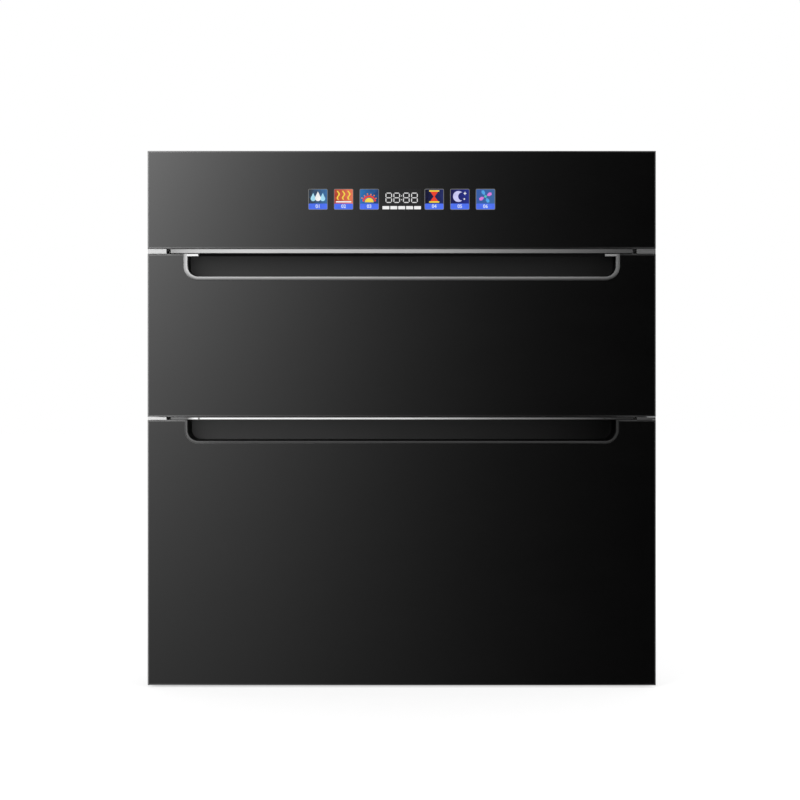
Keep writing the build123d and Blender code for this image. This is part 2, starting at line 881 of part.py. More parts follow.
def make_slides(prefix, height):
    """Writes the outer, middle and inner members of one drawer's two slides."""
    outer_points = [
        (outer_reach, outer_half - outer_lip),
        (outer_reach, outer_half),
        (0, outer_half),
        (0, -outer_half),
        (outer_reach, -outer_half),
        (outer_reach, outer_lip - outer_half),
    ]
    middle_points = [
        (middle_reach, middle_half - middle_lip),
        (middle_reach, middle_half),
        (middle_web, middle_half),
        (middle_web, -middle_half),
        (middle_reach, -middle_half),
        (middle_reach, middle_lip - middle_half),
    ]
    inner_points = [
        (inner_reach, inner_half),
        (slide_width, inner_half),
        (slide_width, -inner_half),
        (inner_reach, -inner_half),
    ]
    outer = slide_member(outer_points, Side.RIGHT, height, slide_front, slide_length)
    middle = slide_member(middle_points, Side.RIGHT, height, slide_front, slide_length)
    inner = slide_member(inner_points, Side.LEFT, height, slide_front, slide_length)
    strips = ball_strips(height, slide_front)
    for kind, pieces in (("outer", [outer]), ("middle", [middle, strips]), ("inner", [inner])):
        with BuildPart() as pair:
            for piece in pieces:
                add(piece.part)
                mirror(piece.part, about=Plane.YZ)
        write(pair, f"{prefix}_{kind}_slides")


# ---------------------------------------------------------------- drawers
pocket_side_margin = 44.5
pocket_half = front_half - pocket_side_margin
pocket_radius = 15.0
pocket_depth = 25.5
pocket_wall = 1.6
frame_edge = 3.0
frame_ring = 13.0
frame_pocket_band = 9.0
cap_side_margin = 27.5
cap_half = front_half - cap_side_margin
cap_nose = 6.0
cap_web = 1.4
cap_rise = 0.2
block_side_inset = 0.5
block_width = 21.8
block_outer = front_half - block_side_inset
block_inner = block_outer - block_width
block_depth = 16.0
liner_side_margin = 9.0
liner_low_margin = 6.0
liner_top_margin = 4.0
gasket_outset = 3.0
gasket_width = 8.0
gasket_clip = 4.0
rail_height = 46.0
rail_sheet = 1.5
rail_flange = 15.0
rail_lift = 12.0
rail_foot_width = 20.0
rear_bar_height = 30.0
rack_back_gap = 36.0
rail_outer = chamber_half - slide_width
rail_end = chamber_back - rack_back_gap


def pocket_shape(grow, top, depth, rise, mode=Mode.ADD):
    """The finger pocket's outline grown outwards: square at the open top, round below."""
    half = pocket_half + grow
    with BuildLine() as outline:
        FilletPolyline(
            (-half, top + rise),
            (-half, top - depth - grow),
            (half, top - depth - grow),
            (half, top + rise),
            radius=pocket_radius + grow,
        )
        Line((-half, top + rise), (half, top + rise))
    make_face(outline.edges(), mode=mode)


def make_door(name, bottom, top, floor, ceiling, handle):
    """Writes everything that is fixed to one drawer's front."""
    with BuildPart() as glass:
        with BuildSketch(facing(glass_back)):
            rectangle(-front_half, front_half, bottom, top)
            pocket_shape(0, top, handle["depth"], glass_thickness, mode=Mode.SUBTRACT)
        extrude(amount=glass_thickness)
        chamfer(glass.faces().sort_by(Axis.Y)[0].outer_wire().edges(), glass_bevel)
    write(glass, f"{name}_glass")

    ring_half = front_half - frame_edge
    ring_top = top + cap_rise
    with BuildPart() as door_frame:
        with BuildSketch(facing(door_back - liner_sheet)):
            rectangle(-ring_half, ring_half, bottom + frame_edge, ring_top)
            rectangle(
                -ring_half + frame_ring,
                ring_half - frame_ring,
                bottom + frame_edge + frame_ring,
                ring_top - frame_ring,
                mode=Mode.SUBTRACT,
            )
            pocket_shape(frame_pocket_band, top, handle["depth"], cap_rise)
            pocket_shape(fit_gap, top, handle["depth"], frame_ring, mode=Mode.SUBTRACT)
        extrude(amount=door_depth - liner_sheet)
    write(door_frame, f"{name}_door_frame")

    with BuildPart() as handle_cap:
        nose_low, nose_high = top + handle["nose"][0], top + handle["nose"][1]
        nose_front = strip_front + handle["nose_set_back"]
        nose_back = nose_front + cap_nose
        with BuildSketch(upright(-cap_half)):
            rectangle(nose_front, nose_back, nose_low, nose_high)
            rectangle(nose_back - cap_web, door_back - liner_sheet, ring_top, ring_top + cap_web)
            rectangle(nose_back - cap_web, nose_back, min(nose_low, ring_top), nose_high)
        extrude(amount=2 * cap_half)
    write(handle_cap, f"{name}_handle_cap")

    with BuildPart() as handle_lip:
        lip_low, lip_high = top + handle["lip"][0], top + handle["lip"][1]
        lip_front = strip_front + handle["lip_set_back"]
        lip_half = pocket_half - handle["lip_inset"]
        with BuildSketch(upright(-lip_half)):
            rectangle(lip_front, lip_front + handle["lip_thickness"], lip_low, lip_high)
        extrude(amount=2 * lip_half)
        if handle["lip_end"] > 0:
            with BuildSketch(facing(lip_front + handle["lip_thickness"])):
                for side in (-1, 1):
                    near = lip_half + handle["lip_groove"]
                    left, right = sorted((side * near, side * (near + handle["lip_end"])))
                    rectangle(left, right, lip_low, lip_high)
            extrude(amount=handle["lip_thickness"])
    write(handle_lip, f"{name}_handle_lip")

    with BuildPart() as end_blocks:
        block_low, block_high = top + cap_rise, top + handle["block_top"]
        for side in (-1, 1):
            left, right = sorted((side * block_inner, side * block_outer))
            with BuildSketch(facing(glass_front + block_depth)):
                rectangle(left, right, block_low, block_high)
            extrude(amount=block_depth + strip_proud / 2)
    write(end_blocks, f"{name}_end_blocks")

    with BuildPart() as pocket_tray:
        tray_back = glass_front + pocket_depth + pocket_wall
        with BuildSketch(facing(tray_back)):
            pocket_shape(0, top, handle["depth"], cap_rise)
        extrude(amount=tray_back - glass_back)
        with BuildSketch(facing(glass_back)):
            pocket_shape(-handle["trim_inside"], top, handle["depth"], cap_rise)
        extrude(amount=-(pocket_depth - glass_thickness), taper=handle["draft"], mode=Mode.SUBTRACT)
        with BuildSketch(facing(glass_back)):
            inner_half = pocket_half - handle["trim_inside"] - handle["draft_room"]
            rectangle(-inner_half, inner_half, top - handle["depth"] / 2, top + cap_rise)
        extrude(amount=-(pocket_depth - glass_thickness), mode=Mode.SUBTRACT)
    write(pocket_tray, f"{name}_pocket_tray")

    with BuildPart() as pocket_trim:
        trim_front = strip_front + handle["trim_set_back"]
        with BuildSketch(facing(glass_back)):
            pocket_shape(-fit_gap, top, handle["depth"], 0)
            pocket_shape(-handle["trim_inside"], top, handle["depth"], glass_thickness, mode=Mode.SUBTRACT)
        extrude(amount=glass_back - trim_front)
        if handle["trim_outside"] > 0:
            with BuildSketch(facing(glass_front)):
                pocket_shape(handle["trim_outside"], top, handle["depth"], 0)
                inside = -handle["trim_inside"]
                pocket_shape(inside, top, handle["depth"], glass_thickness, mode=Mode.SUBTRACT)
            extrude(amount=glass_front - trim_front)
        if handle["tab_width"] > 0:
            tab_outer = pocket_half - handle["trim_inside"]
            for side in (-1, 1):
                left, right = sorted((side * tab_outer, side * (tab_outer - handle["tab_width"])))
                with BuildSketch(facing(glass_back)):
                    rectangle(left, right, top + handle["tab"][0], top + handle["tab"][1])
                extrude(amount=glass_back - trim_front)
    write(pocket_trim, f"{name}_pocket_trim")

    with BuildPart() as door_liner:
        with BuildSketch(facing(door_back)):
            clipped_rectangle(
                -front_half + liner_side_margin,
                front_half - liner_side_margin,
                bottom + liner_low_margin,
                top - liner_top_margin,
                gasket_clip,
            )
        extrude(amount=liner_sheet)
    write(door_liner, f"{name}_door_liner")

    with BuildPart() as gasket:
        inner = chamber_half + gasket_outset
        outer = inner + gasket_width
        with BuildSketch(facing(body_front - running_gap)):
            clipped_rectangle(
                -outer,
                outer,
                floor - gasket_outset - gasket_width,
                ceiling + gasket_outset + gasket_width,
                gasket_clip,
            )
            rectangle(-inner, inner, floor - gasket_outset, ceiling + gasket_outset, mode=Mode.SUBTRACT)
        extrude(amount=seal_gap - running_gap)
    write(gasket, f"{name}_gasket")


def make_cradle(name, floor):
    """Writes a drawer's two side rails and its rear bar."""
    low = floor + rail_lift
    with BuildPart() as right_rail:
        with BuildSketch(facing(rail_end)):
            bent_sheet(
                [(rail_outer, low + rail_height), (rail_outer, low), (rail_outer - rail_flange, low)],
                rail_sheet,
                Side.RIGHT,
            )
        extrude(amount=rail_end - door_back)
        with BuildSketch(facing(door_back + rail_sheet)):
            rectangle(rail_outer - rail_foot_width, rail_outer, low, low + rail_height)
        extrude(amount=rail_sheet)
    with BuildPart() as left_rail:
        mirror(right_rail.part, about=Plane.YZ)
    bar_half = rail_outer - rail_sheet
    with BuildPart() as rear_bar:
        with BuildSketch(upright(-bar_half)):
            bent_sheet(
                [
                    (rail_end, low + rail_sheet + rear_bar_height),
                    (rail_end, low + rail_sheet),
                    (rail_end - rail_flange, low + rail_sheet),
                ],
                rail_sheet,
                Side.RIGHT,
            )
        extrude(amount=2 * bar_half)
    write_weldment(f"{name}_cradle", right_rail, left_rail, rear_bar)


rim_wire = 5.0
cross_wire = 3.5
basket_side_gap = 6.3
basket_half = rail_outer - basket_side_gap
basket_front_gap = 8.0
basket_rear_gap = 4.0
basket_front = door_back + basket_front_gap
basket_rear = rail_end - rail_flange - basket_rear_gap
runners = 4
cross_wires = 13
side_posts = 4
front_posts = 6
rack_overhang = 8.0
rack_front_inset = 40.0
rack_rear_inset = 50.0
loop_depth = 70.0


def between(first, last, steps):
    """Evenly spaced values from first to last, one for each step."""
    return [first + (last - first) * step / (len(steps) - 1) for step in steps]


def straight_wire(start, end, diameter):
    """One wire as a piece of its own, for a weldment."""
    with BuildPart() as piece:
        wire([start, end], diameter)
    return piece


def make_basket(name, seat, height):
    """Writes a wire basket: a flat grid of welded wires, and two rims joined by posts round it."""
    runner_z = seat + rim_wire / 2
    cross_z = seat + rim_wire + cross_wire / 2
    left, right = -basket_half + rim_wire / 2, basket_half - rim_wire / 2
    front, rear = basket_front + rim_wire / 2, basket_rear - rim_wire / 2
    pieces = [
        straight_wire((left, y, runner_z), (right, y, runner_z), rim_wire)
        for y in between(front + rim_wire, rear - rim_wire, range(runners))
    ]
    pieces += [
        straight_wire((x, front, cross_z), (x, rear, cross_z), cross_wire)
        for x in between(left + cross_wire, right - cross_wire, range(cross_wires))
    ]
    base = seat + rim_wire + cross_wire + rim_wire / 2
    top = base + height
    foot, head = base + rim_wire / 2, top - rim_wire / 2
    for x in (left, right):
        pieces += [straight_wire((x, front, z), (x, rear, z), rim_wire) for z in (base, top)]
        for y in between(front + rim_wire, rear - rim_wire, range(side_posts)):
            pieces.append(straight_wire((x, y, foot), (x, y, head), cross_wire))
    for y in (front, rear):
        for z in (base, top):
            pieces.append(straight_wire((left + rim_wire, y, z), (right - rim_wire, y, z), rim_wire))
        for x in between(left + 2 * rim_wire, right - 2 * rim_wire, range(front_posts)):
            pieces.append(straight_wire((x, y, foot), (x, y, head), cross_wire))
    write_weldment(f"{name}_basket", *pieces)


def make_loops(name, seat, first_x, last_x, steps, height):
    """Writes the rack in a basket: two rows of upright loops, each row on two carrier wires."""
    carrier_z = seat + rim_wire + cross_wire + cross_wire / 2
    base = carrier_z + cross_wire / 2
    front_row = basket_front + rack_front_inset
    rear_row = basket_rear - rack_rear_inset - loop_depth
    pieces = []
    for start in (front_row, rear_row):
        end = start + loop_depth
        pieces += [
            straight_wire(
                (first_x - rack_overhang, y, carrier_z), (last_x + rack_overhang, y, carrier_z), cross_wire
            )
            for y in (start, end)
        ]
        for x in between(first_x, last_x, steps):
            with BuildPart() as loop:
                wire(
                    [(x, start, base), (x, start, base + height), (x, end, base + height), (x, end, base)],
                    cross_wire,
                )
            pieces.append(loop)
    write_weldment(f"{name}_loops", *pieces)


upper_handle = {
    "depth": 29.0,
    "nose": (0.9, 5.6),
    "nose_set_back": 0.0,
    "lip": (-2.6, 0.9),
    "lip_inset": 16.2,
    "lip_groove": 0.0,
    "lip_end": 0.0,
    "lip_set_back": 1.8,
    "lip_thickness": 2.0,
    "block_top": 5.6,
    "trim_inside": 2.2,
    "trim_outside": 2.1,
    "trim_set_back": 0.0,
    "draft": 0.0,
    "draft_room": 0.0,
    "tab_width": 12.8,
    "tab": (-2.6, -0.3),
}
lower_handle = {
    "depth": 26.7,
    "nose": (0.4, 3.2),
    "nose_set_back": 1.2,
    "lip": (0.4, 3.2),
    "lip_inset": 16.8,
    "lip_groove": 1.8,
    "lip_end": 13.4,
    "lip_set_back": 0.0,
    "lip_thickness": 1.2,
    "block_top": 3.3,
    "trim_inside": 2.0,
    "trim_outside": 0.0,
    "trim_set_back": 0.6,
    "draft": 5.0,
    "draft_room": 1.8,
    "tab_width": 0.0,
    "tab": (0.0, 0.0),
}

make_door("upper", upper_bottom, upper_top, upper_floor, upper_ceiling, upper_handle)
make_door("lower", lower_bottom, lower_top, lower_floor, lower_ceiling, lower_handle)
for drawer, chamber_floor in (("upper", upper_floor), ("lower", lower_floor)):
    make_cradle(drawer, chamber_floor)
    make_slides(drawer, chamber_floor + rail_lift + rail_height / 2)

flange_top = rail_lift + rail_sheet
drip_wall = 0.8
drip_height = 10.0
drip_margin = 2.0
drip_half = basket_half + drip_margin
drip_front = basket_front - drip_margin
drip_rear = basket_rear + drip_margin
with BuildPart() as drip_tray:
    with BuildSketch(level(lower_floor + flange_top)):
        rectangle(-drip_half, drip_half, drip_front, drip_rear)
    extrude(amount=drip_height)
    with BuildSketch(level(lower_floor + flange_top + drip_wall)):
        inner_half = drip_half - drip_wall
        rectangle(-inner_half, inner_half, drip_front + drip_wall, drip_rear - drip_wall)
    extrude(amount=drip_height, mode=Mode.SUBTRACT)
write(drip_tray, "drip_tray")

upper_seat = upper_floor + flange_top
lower_seat = lower_floor + flange_top + drip_wall
upper_rim_height = 40.0
lower_rim_height = 60.0
bowl_loops, bowl_side_space, bowl_height = 7, 63.0, 45.0
plate_loops, plate_side_space, plate_height = 9, 43.0, 80.0
cutlery_space = 136.0
bowl_reach = basket_half - bowl_side_space
plate_reach = basket_half - plate_side_space
make_basket("upper", upper_seat, upper_rim_height)
make_basket("lower", lower_seat, lower_rim_height)
make_loops("upper", upper_seat, -bowl_reach, bowl_reach, range(bowl_loops), bowl_height)
make_loops("lower", lower_seat, -plate_reach, plate_reach - cutlery_space, range(plate_loops), plate_height)
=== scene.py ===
"""Looks of the dish sterilizer cabinet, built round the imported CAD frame.

Metres, +Z up, the front faces -Y. Sizes that are easier to read in millimetres are multiplied by MM.
"""

import math

import bmesh
import bpy
from mathutils import Matrix, Vector


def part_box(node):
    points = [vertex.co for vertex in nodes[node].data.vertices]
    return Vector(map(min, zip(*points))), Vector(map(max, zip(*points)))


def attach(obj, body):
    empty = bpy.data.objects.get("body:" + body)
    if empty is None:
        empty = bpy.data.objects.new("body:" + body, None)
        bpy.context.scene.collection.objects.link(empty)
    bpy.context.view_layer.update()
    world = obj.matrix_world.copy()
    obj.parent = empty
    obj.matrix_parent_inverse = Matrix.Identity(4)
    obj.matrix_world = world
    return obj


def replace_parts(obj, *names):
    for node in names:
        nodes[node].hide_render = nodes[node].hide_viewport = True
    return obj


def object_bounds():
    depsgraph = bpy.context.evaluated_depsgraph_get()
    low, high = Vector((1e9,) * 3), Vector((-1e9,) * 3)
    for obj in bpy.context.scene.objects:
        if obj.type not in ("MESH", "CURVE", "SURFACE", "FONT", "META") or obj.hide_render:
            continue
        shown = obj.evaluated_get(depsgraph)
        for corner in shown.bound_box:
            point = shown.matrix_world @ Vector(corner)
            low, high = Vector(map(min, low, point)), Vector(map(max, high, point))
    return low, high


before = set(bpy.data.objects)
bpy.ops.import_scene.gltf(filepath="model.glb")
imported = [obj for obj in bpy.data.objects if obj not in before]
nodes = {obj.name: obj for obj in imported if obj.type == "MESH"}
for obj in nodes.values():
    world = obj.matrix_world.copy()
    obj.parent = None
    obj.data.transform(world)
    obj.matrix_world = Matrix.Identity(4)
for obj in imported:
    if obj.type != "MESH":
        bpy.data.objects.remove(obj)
cad_low, cad_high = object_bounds()

MM = 0.001
CABINET = "cabinet"
DRAWERS = ("upper", "lower")
FRONT_HALF = cad_high.x

# ------------ node helpers
# How far a noise texture's value is followed to each side of its middle.
NOISE_MIDDLE = 0.5
NARROW, MEDIUM, WIDE = 0.15, 0.20, 0.25


def link_or_set(tree, socket, value):
    """Feeds a socket from another socket, or sets its number or colour."""
    if isinstance(value, bpy.types.NodeSocket):
        tree.links.new(value, socket)
    else:
        socket.default_value = value


def math_node(tree, operation, first, second=None, clamp=False):
    """A math node's output."""
    node = tree.nodes.new("ShaderNodeMath")
    node.operation = operation
    node.use_clamp = clamp
    link_or_set(tree, node.inputs[0], first)
    if second is not None:
        link_or_set(tree, node.inputs[1], second)
    return node.outputs[0]


def span(tree, value, low, high, to_low=0.0, to_high=1.0):
    """Maps a value from one range to another, clamped."""
    node = tree.nodes.new("ShaderNodeMapRange")
    node.clamp = True
    link_or_set(tree, node.inputs["Value"], value)
    node.inputs["From Min"].default_value = low
    node.inputs["From Max"].default_value = high
    node.inputs["To Min"].default_value = to_low
    node.inputs["To Max"].default_value = to_high
    return node.outputs["Result"]


def follow(tree, value, low, high, reach=MEDIUM):
    """A number that goes from low to high with a noise texture's value."""
    return span(tree, value, NOISE_MIDDLE - reach, NOISE_MIDDLE + reach, low, high)


def place(tree):
    """The object's own coordinates, in metres. For a CAD node they are the cabinet's, at rest."""
    return tree.nodes.new("ShaderNodeTexCoord").outputs["Object"]


def stretched(tree, scale):
    """The object's own coordinates with their own scale along each axis."""
    mapping = tree.nodes.new("ShaderNodeMapping")
    tree.links.new(place(tree), mapping.inputs["Vector"])
    mapping.inputs["Scale"].default_value = scale
    return mapping.outputs["Vector"]


def noise(tree, scale, detail=3.0, roughness=0.5, vector=None):
    """A noise texture's value."""
    node = tree.nodes.new("ShaderNodeTexNoise")
    node.inputs["Scale"].default_value = scale
    node.inputs["Detail"].default_value = detail
    node.inputs["Roughness"].default_value = roughness
    tree.links.new(vector or place(tree), node.inputs["Vector"])
    return node.outputs["Fac"]


def ramp(tree, factor, *stops):
    """A colour ramp with stops of (position, colour)."""
    node = tree.nodes.new("ShaderNodeValToRGB")
    tree.links.new(factor, node.inputs["Fac"])
    elements = node.color_ramp.elements
    while len(elements) < len(stops):
        elements.new(0.5)
    for element, (position, colour) in zip(elements, stops):
        element.position = position
        element.color = (*colour, 1.0)
    return node.outputs["Color"]


def tint(tree, value, low, high, reach=MEDIUM):
    """A colour that goes from low to high with a noise texture's value."""
    return ramp(tree, value, (NOISE_MIDDLE - reach, low), (NOISE_MIDDLE + reach, high))


def bump(tree, height, strength, distance):
    """A bump normal from a height."""
    node = tree.nodes.new("ShaderNodeBump")
    node.inputs["Strength"].default_value = strength
    node.inputs["Distance"].default_value = distance
    tree.links.new(height, node.inputs["Height"])
    return node.outputs["Normal"]


def new_material(name, **values):
    """A material with one Principled shader and plain numbers on its sockets."""
    material = bpy.data.materials.new(name)
    material.use_nodes = True
    shader = material.node_tree.nodes["Principled BSDF"]
    for socket, value in values.items():
        shader.inputs[socket.replace("_", " ")].default_value = value
    return material, material.node_tree, shader


def feed(shader, **sources):
    """Links sources to a shader's sockets."""
    for socket, source in sources.items():
        shader.id_data.links.new(source, shader.inputs[socket.replace("_", " ")])


def grey(level):
    """A neutral colour."""
    return (level, level, level)


def dimmed(colour, level):
    """A colour times a level."""
    return tuple(level * part for part in colour)


def split(tree, vector):
    """The X, Y and Z sockets of a vector."""
    node = tree.nodes.new("ShaderNodeSeparateXYZ")
    tree.links.new(vector, node.inputs[0])
    return node.outputs


def painted_light_along_front(tree, stops):
    """Painted light: a grey that changes from the left end of the front to the right, standing in for the
    studio light's reflection falling off across the front. Stops are (x in mm, level).
    """
    across = span(tree, split(tree, place(tree))["X"], -FRONT_HALF, FRONT_HALF)
    width = 2 * FRONT_HALF / MM
    return ramp(tree, across, *((x / width + 0.5, grey(level)) for x, level in stops))


def facing_front(tree):
    """One on faces that look straight to the front or back, nought on edges and walls."""
    geometry = tree.nodes.new("ShaderNodeNewGeometry")
    normal = split(tree, geometry.outputs["True Normal"])
    return span(tree, math_node(tree, "ABSOLUTE", normal["Y"]), 0.90, 0.95)


def scaled(tree, colour, factor):
    """A colour multiplied by a plain value."""
    node = tree.nodes.new("ShaderNodeVectorMath")
    node.operation = "SCALE"
    tree.links.new(colour, node.inputs[0])
    link_or_set(tree, node.inputs["Scale"], factor)
    return node.outputs["Vector"]


def mix_values(tree, factor, first, second):
    """A value between two values."""
    node = tree.nodes.new("ShaderNodeMix")
    for index, value in ((0, factor), (2, first), (3, second)):
        link_or_set(tree, node.inputs[index], value)
    return node.outputs[0]


def mix_colours(tree, factor, first, second):
    """A colour between two colours."""
    node = tree.nodes.new("ShaderNodeMix")
    node.data_type = "RGBA"
    for index, value in ((0, factor), (6, first), (7, second)):
        link_or_set(tree, node.inputs[index], value)
    return node.outputs[2]


# ------------ kinds of material
BRUSHED_ALONG_X = (4.0, 900.0, 900.0)
BRUSHED_ALONG_Y = (900.0, 5.0, 900.0)
DRAWN_ALONG_X = (6.0, 260.0, 260.0)
WIPED_ALONG_X = (1.0, 1.0, 2.6)
FELTED_ALONG_Y = (1.0, 0.35, 1.0)
# Painted highlight on the glass edges along the front, bright at the left and dark at the right, as (x in
# mm, level).
EDGE_HIGHLIGHT_TONES = ((-297, 0.29), (-201, 0.14), (0, 0.045), (185, 0.018), (297, 0.055))
# Painted highlight band on a pane's face inside its edges: where it starts, where it ends, and its share of
# the edge highlight.
HIGHLIGHT_BAND_NEAR, HIGHLIGHT_BAND_FAR, HIGHLIGHT_BAND_LEVEL = 1.2 * MM, 2.1 * MM, 0.5
# Share of a rim's width over which its painted shade falls.
SLOPE_SHARE = 0.85
# Level of the painted highlight at the inner top of each rim leg.
TAB_HIGHLIGHT_LEVEL = 0.45
CREASE = 0.1 * MM
GLASS_IOR = 1.45
LAMP_HALF = 105.0 * MM
LIT = {
    "Base_Color": (0.0, 0.0, 0.0, 1.0),
    "Roughness": 0.4,
    "Specular_IOR_Level": 0.05,
    "Emission_Strength": 1.0,
}


def make_glass_panel(node):
    """A pane's black tempered glass: dark by its print, polished in front, with ground edges and wipes.

    The ground edges carry a painted highlight, bright at the left end of the front and dark at the right. A
    narrow band of the face just inside them is paler: the same painted highlight at half its level.
    """
    material, tree, shader = new_material(f"{node}_black", Specular_IOR_Level=0.5)
    low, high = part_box(node)
    spot = split(tree, place(tree))
    aside = math_node(tree, "SUBTRACT", math_node(tree, "ABSOLUTE", spot["X"]), high.x)
    below = math_node(tree, "SUBTRACT", low.z, spot["Z"])
    above = math_node(tree, "SUBTRACT", spot["Z"], high.z)
    past_border = math_node(tree, "MAXIMUM", aside, math_node(tree, "MAXIMUM", below, above))
    # Painted highlight band just inside the pane's border.
    band = span(tree, past_border, -HIGHLIGHT_BAND_FAR, -HIGHLIGHT_BAND_NEAR)
    wipes = noise(tree, scale=9.0, detail=5.0, roughness=0.6, vector=stretched(tree, WIPED_ALONG_X))
    grind = follow(tree, noise(tree, scale=1500.0, detail=2.0), 0.85, 1.0)
    # Painted highlight of the ground edges, graded along the front, with a fine grit.
    edge = scaled(tree, painted_light_along_front(tree, EDGE_HIGHLIGHT_TONES), grind)
    print_tone = tint(tree, wipes, grey(0.0010), grey(0.0016))
    face = mix_colours(tree, band, print_tone, scaled(tree, edge, HIGHLIGHT_BAND_LEVEL))
    flat = facing_front(tree)
    polish = follow(tree, wipes, 0.02, 0.05, WIDE)
    feed(
        shader,
        Base_Color=mix_colours(tree, flat, edge, face),
        Roughness=mix_values(tree, flat, 0.5, polish),
        Normal=bump(tree, noise(tree, scale=6.0, detail=2.0), 0.02, 0.5 * MM),
    )
    return material


def brushed_lines(tree, grain):
    """Fine lines along one axis."""
    return noise(tree, scale=1.0, detail=4.0, roughness=0.6, vector=stretched(tree, grain))


def make_brushed(name, colour, roughness, grain=BRUSHED_ALONG_X):
    """Metal brushed along one axis: fine lines in height and roughness, slow changes of tone."""
    material, tree, shader = new_material(name, Metallic=1.0)
    lines = brushed_lines(tree, grain)
    tone = mix_values(tree, 0.4, lines, noise(tree, scale=12.0))
    feed(
        shader,
        Base_Color=tint(tree, tone, dimmed(colour, 0.86), colour),
        Roughness=follow(tree, tone, roughness - 0.08, roughness + 0.08, WIDE),
        Normal=bump(tree, lines, 0.12, 0.2 * MM),
    )
    return material


def make_graded(name, roughness, tones, shade=None):
    """Satin metal of the front, brushed along X, whose tone is painted light: it changes along the front as
    a painted reflection of the studio light.

    The optional shade is a function that returns a painted shade for the tone to be multiplied by.
    """
    material, tree, shader = new_material(name, Metallic=0.5, Specular_IOR_Level=0.3)
    lines = brushed_lines(tree, BRUSHED_ALONG_X)
    # Painted reflection along the front, with faint brushed lines.
    tone = scaled(tree, painted_light_along_front(tree, tones), follow(tree, lines, 0.97, 1.0))
    if shade:
        tone = scaled(tree, tone, shade(tree))
    feed(
        shader,
        Base_Color=tone,
        Roughness=follow(tree, lines, roughness - 0.04, roughness + 0.04, WIDE),
        Normal=bump(tree, lines, 0.03, 0.2 * MM),
    )
    return material


def painted_edge_shade(node, reach, low_level, high_level):
    """A painted shade for a long strip: darker near its lower and upper edges, where a rolled edge turns
    away from the light.
    """
    low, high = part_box(node)

    def shade(tree):
        z = split(tree, place(tree))["Z"]
        foot = span(tree, z, low.z, low.z + reach, low_level, 1.0)
        head = span(tree, z, high.z - reach, high.z, 1.0, high_level)
        return math_node(tree, "MULTIPLY", foot, head)

    return shade


def painted_rim_shade(node, radius, width, leg_level, foot_level, tab_height, leg_width):
    """A painted shade for a U-shaped rim: darker towards its outer edge, as a rim that slopes away from its
    inner edge would be, more at the foot than at the legs.

    The radius is that of its outer corners. A short stretch inside the upper end of each leg gets a painted
    highlight.
    """
    low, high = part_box(node)
    slope_width = SLOPE_SHARE * width

    def shade(tree):
        spot = split(tree, place(tree))
        across = math_node(tree, "ABSOLUTE", spot["X"])
        aside = math_node(tree, "SUBTRACT", across, high.x - radius)
        below = math_node(tree, "SUBTRACT", low.z + radius, spot["Z"])
        outside = [math_node(tree, "MAXIMUM", value, 0.0) for value in (aside, below)]
        squares = [math_node(tree, "POWER", value, 2.0) for value in outside]
        round_part = math_node(tree, "SQRT", math_node(tree, "ADD", *squares))
        straight_part = math_node(tree, "MINIMUM", math_node(tree, "MAXIMUM", aside, below), 0.0)
        reach = math_node(tree, "ADD", round_part, straight_part)
        leg = span(tree, reach, radius - slope_width, radius, 1.0, leg_level)
        foot = span(tree, reach, radius - width, radius - width + slope_width, 1.0, foot_level)
        turn = span(tree, math_node(tree, "SUBTRACT", below, aside), -radius / 2, radius / 2)
        slope = mix_values(tree, turn, leg, foot)
        # Painted highlight at the inner top of each leg.
        near_top = span(tree, spot["Z"], high.z - tab_height, high.z - tab_height + CREASE)
        inside = span(tree, across, high.x - leg_width, high.x - leg_width + CREASE, 1.0, 0.0)
        tab = math_node(tree, "MULTIPLY", math_node(tree, "MULTIPLY", near_top, inside), TAB_HIGHLIGHT_LEVEL)
        return math_node(tree, "ADD", slope, tab)

    return shade


def make_pocket_plastic(name, tones):
    """Plastic of a finger pocket: black walls, and a back painted lighter, paling to the left, as a painted
    reflection of the studio light.
    """
    material, tree, shader = new_material(name, Specular_IOR_Level=0.05)
    patches = noise(tree, scale=14.0)
    wall = tint(tree, patches, grey(0.0010), grey(0.0014))
    # Painted reflection on the back, paler to the left.
    back = scaled(tree, painted_light_along_front(tree, tones), follow(tree, patches, 0.96, 1.0))
    feed(
        shader,
        Base_Color=mix_colours(tree, facing_front(tree), wall, back),
        Roughness=follow(tree, patches, 0.30, 0.36),
        Normal=bump(tree, noise(tree, scale=900.0, detail=2.0), 0.05, 0.1 * MM),
    )
    return material


def make_moulded(name, colour, roughness, grain=2200.0, depth=0.25, specular=0.4):
    """Moulded plastic, rubber or ceramic: fine spark-eroded grain and slow changes of sheen."""
    material, tree, shader = new_material(name, Specular_IOR_Level=specular)
    patches = noise(tree, scale=18.0)
    feed(
        shader,
        Base_Color=tint(tree, patches, dimmed(colour, 0.8), colour, NARROW),
        Roughness=follow(tree, patches, roughness - 0.06, roughness + 0.06),
        Normal=bump(tree, noise(tree, grain, detail=2.0), depth, 0.1 * MM),
    )
    return material


def make_bright_metal(name, colour, roughness):
    """Polished metal with a few soft smears."""
    material, tree, shader = new_material(name, Metallic=1.0)
    smears = noise(tree, scale=35.0, detail=4.0, roughness=0.6)
    feed(
        shader,
        Base_Color=tint(tree, smears, dimmed(colour, 0.92), colour, NARROW),
        Roughness=follow(tree, smears, 0.7 * roughness, 1.3 * roughness),
        Normal=bump(tree, noise(tree, scale=400.0, detail=2.0), 0.02, 0.1 * MM),
    )
    return material


